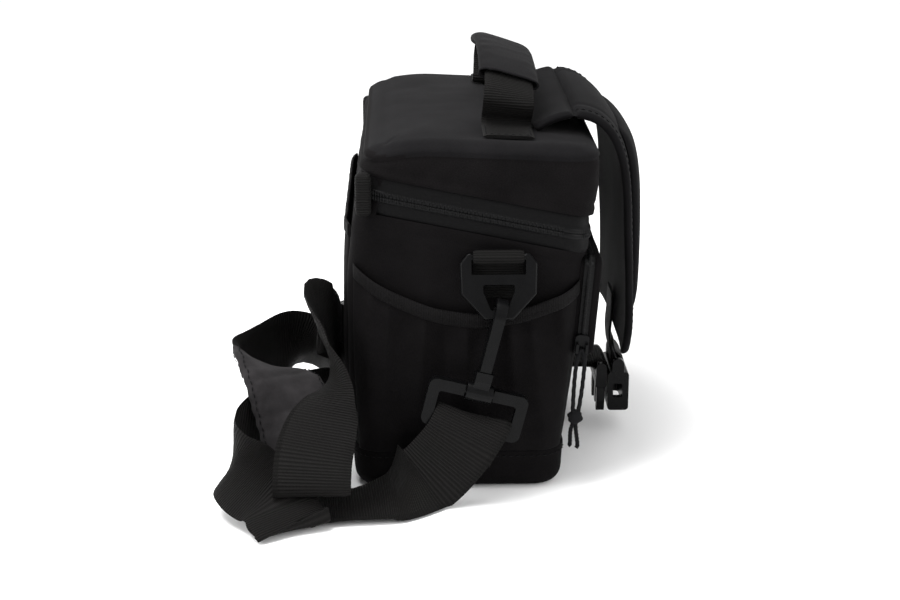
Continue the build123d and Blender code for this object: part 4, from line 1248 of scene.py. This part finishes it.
def ring_tabs():
    """Webbing loops that hold the D-rings."""
    path = [(-94.1, 103.5), (-94.0, 110), (-94.1, 117), (-94.4, 121.0)]
    for k in range(0, 13):
        angle = math.radians(-40 - 260 * k / 12 + 30)
        path.append((-96.6 + 2.9 * math.cos(angle), 125 + 2.9 * math.sin(angle)))
    path += [(-95.0, 119), (-95.2, 112), (-95.3, 104)]
    fine = smooth_line(path, 60)
    band = flat_band("ring_tab_left_loop", [(p.x, -19.5, p.y) for p in fine], (0, 1, 0), 0.62)
    at_both_ends(band, WEBBING, "ring_tab_left")


def buckle_webbings():
    """Webbing from the flap to the socket, and from the wall to the plug."""
    lines = (
        ("flap_strap", "flap", "flap_webbing", 60,
         ((-86.6, 78), (-86.2, 66), (-85.6, 56), (-86.2, 48), (-87.2, 43.5), (-87.0, 40.0), (-88.0, 37.6),
          (-90.0, 36.7), (-92.2, 37.8), (-92.9, 40.0), (-91.6, 42.6), (-88.6, 46.0), (-87.2, 52.0))),
        ("wall_strap", "root", "wall_webbing", 70,
         ((-56.8, 43.5), (-57.8, 40.5), (-61, 38.6), (-68, 37.9), (-75, 38.8), (-79.2, 39.8), (-82.4, 39.5),
          (-83.7, 37.2), (-82.6, 34.6), (-79.6, 34.2), (-77.2, 36.0), (-72, 36.9), (-64, 36.8))),
    )
    for name, body, node, count, points in lines:
        band = flat_band(name, [(0, p.x, p.y) for p in smooth_line(points, count)], (1, 0, 0), 0.7)
        finish_piece(band, WEBBING, body, (node,))


def pull_cord():
    """The front slider's cord pull: a doubled cord, a moulded knot and two tails."""
    gusset = Vector((-87.0, -62.08, 76.05))
    down = Vector((0, 0.0748, -0.9972))
    side = Vector((0, -0.9972, -0.0748))

    def spot(across, drop, out):
        return gusset + side * across + down * drop + Vector((-out, 0, 0))

    parts = []
    paths = [[spot(0, 1.4, 3.2), spot(sign * 0.9, 3.0, 3.3), spot(sign * 2.0, 8, 3.4),
              spot(sign * 2.1, 20, 3.5), spot(sign * 1.5, 33, 3.5), spot(sign * 0.8, 38, 3.5)]
             for sign in (-1, 1)]
    paths.append([spot(0.3, 39, 3.5), spot(1.2, 45, 3.4), spot(2.6, 52, 3.8), spot(2.2, 54, 3.9)])
    paths.append([spot(-0.3, 39, 3.5), spot(-1.6, 45, 3.7), spot(-1.2, 52, 3.3), spot(-1.9, 53.4, 3.3)])
    for number, path in enumerate(paths):
        fine = smooth_line([tuple(p) for p in path], 46)
        rows = []
        for i, point in enumerate(fine):
            along = heading(fine, i)
            first = along.cross(Vector((0, 1, 0.1))).normalized()
            second = along.cross(first)
            row = []
            for k in range(12):
                angle = 2 * math.pi * k / 12
                radius = 1.05 + 0.1 * math.cos(3 * angle + i * 1.1)
                row.append(point + (first * math.cos(angle) + second * math.sin(angle)) * radius)
            rows.append(row)
        parts.append(grid(f"cord_part_{number}", rows, wrap=True, ends=True))
    rows = []
    for step in range(17):
        t = step / 16
        middle = spot(0, 33.5 + 8.0 * t, 3.5)
        swell = math.sin(math.pi * min(max(t, 0.03), 0.97)) ** 0.55
        row = []
        for k in range(20):
            angle = 2 * math.pi * k / 20
            wrap = 1 + 0.1 * math.sin(t * 13 + angle)
            row.append(middle + side * (3.9 * swell * wrap * math.cos(angle)) +
                       Vector((2.9 * swell * wrap * math.sin(angle), 0, 0)))
        rows.append(row)
    parts.append(grid("cord_knot", rows, wrap=True, ends=True))
    cord = join("front_pull_cord", parts)
    tidy_normals(cord)
    finish_piece(cord, CORD, "front_pull", ("front_pull",))


def soften(node, width, material):
    """Rounds a hard CAD piece's edges for shading and gives it its material."""
    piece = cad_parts[node]
    weld = piece.modifiers.new("weld", "WELD")
    weld.merge_threshold = 1e-6
    bevel = piece.modifiers.new("edges", "BEVEL")
    bevel.width = width * MM
    bevel.segments = 3
    bevel.limit_method = "ANGLE"
    bevel.angle_limit = math.radians(38)
    bevel.harden_normals = True
    for place in piece.material_slots:
        place.material = material
    if not piece.material_slots:
        piece.data.materials.append(material)


def hardware():
    """Materials and rounded edges of the moulded and metal pieces."""
    pairs = (("d_ring", 0.9), ("hook", 0.9), ("hook_gate", 0.5), ("strap_loop", 0.9), ("buckle_prong", 0.5))
    for name, width in pairs:
        soften(name + "_left", width, PLASTIC)
        soften(name + "_right", width, PLASTIC)
    for name, width in (("buckle_socket", 0.8), ("buckle_plug", 0.7), ("strap_adjuster", 0.6)):
        soften(name, width, PLASTIC)
    for name in ("lid_slider_rear", "lid_slider_front", "lid_pull_rear", "lid_pull_front", "front_slider"):
        soften(name, 0.3, METAL)


# ---- Everything, camera and cords first ----------------------------------------------------------
studio()
(near_end, strap, far_end), pad, pad_threads, paths = shoulder_strap()
body_cover()
base_cover()
lid_cover()
zip_half("lid_zip_lower", -1, "root", ("zip_tape_body",))
zip_half("lid_zip_upper", 1, "lid", ("zip_tape_lid",))
hinge_cloth()
lid_and_room_linings()
side_pockets()
back_pocket()
front_pocket()
flap()
handle()
end_tabs()
ring_tabs()
buckle_webbings()
pull_cord()
hardware()
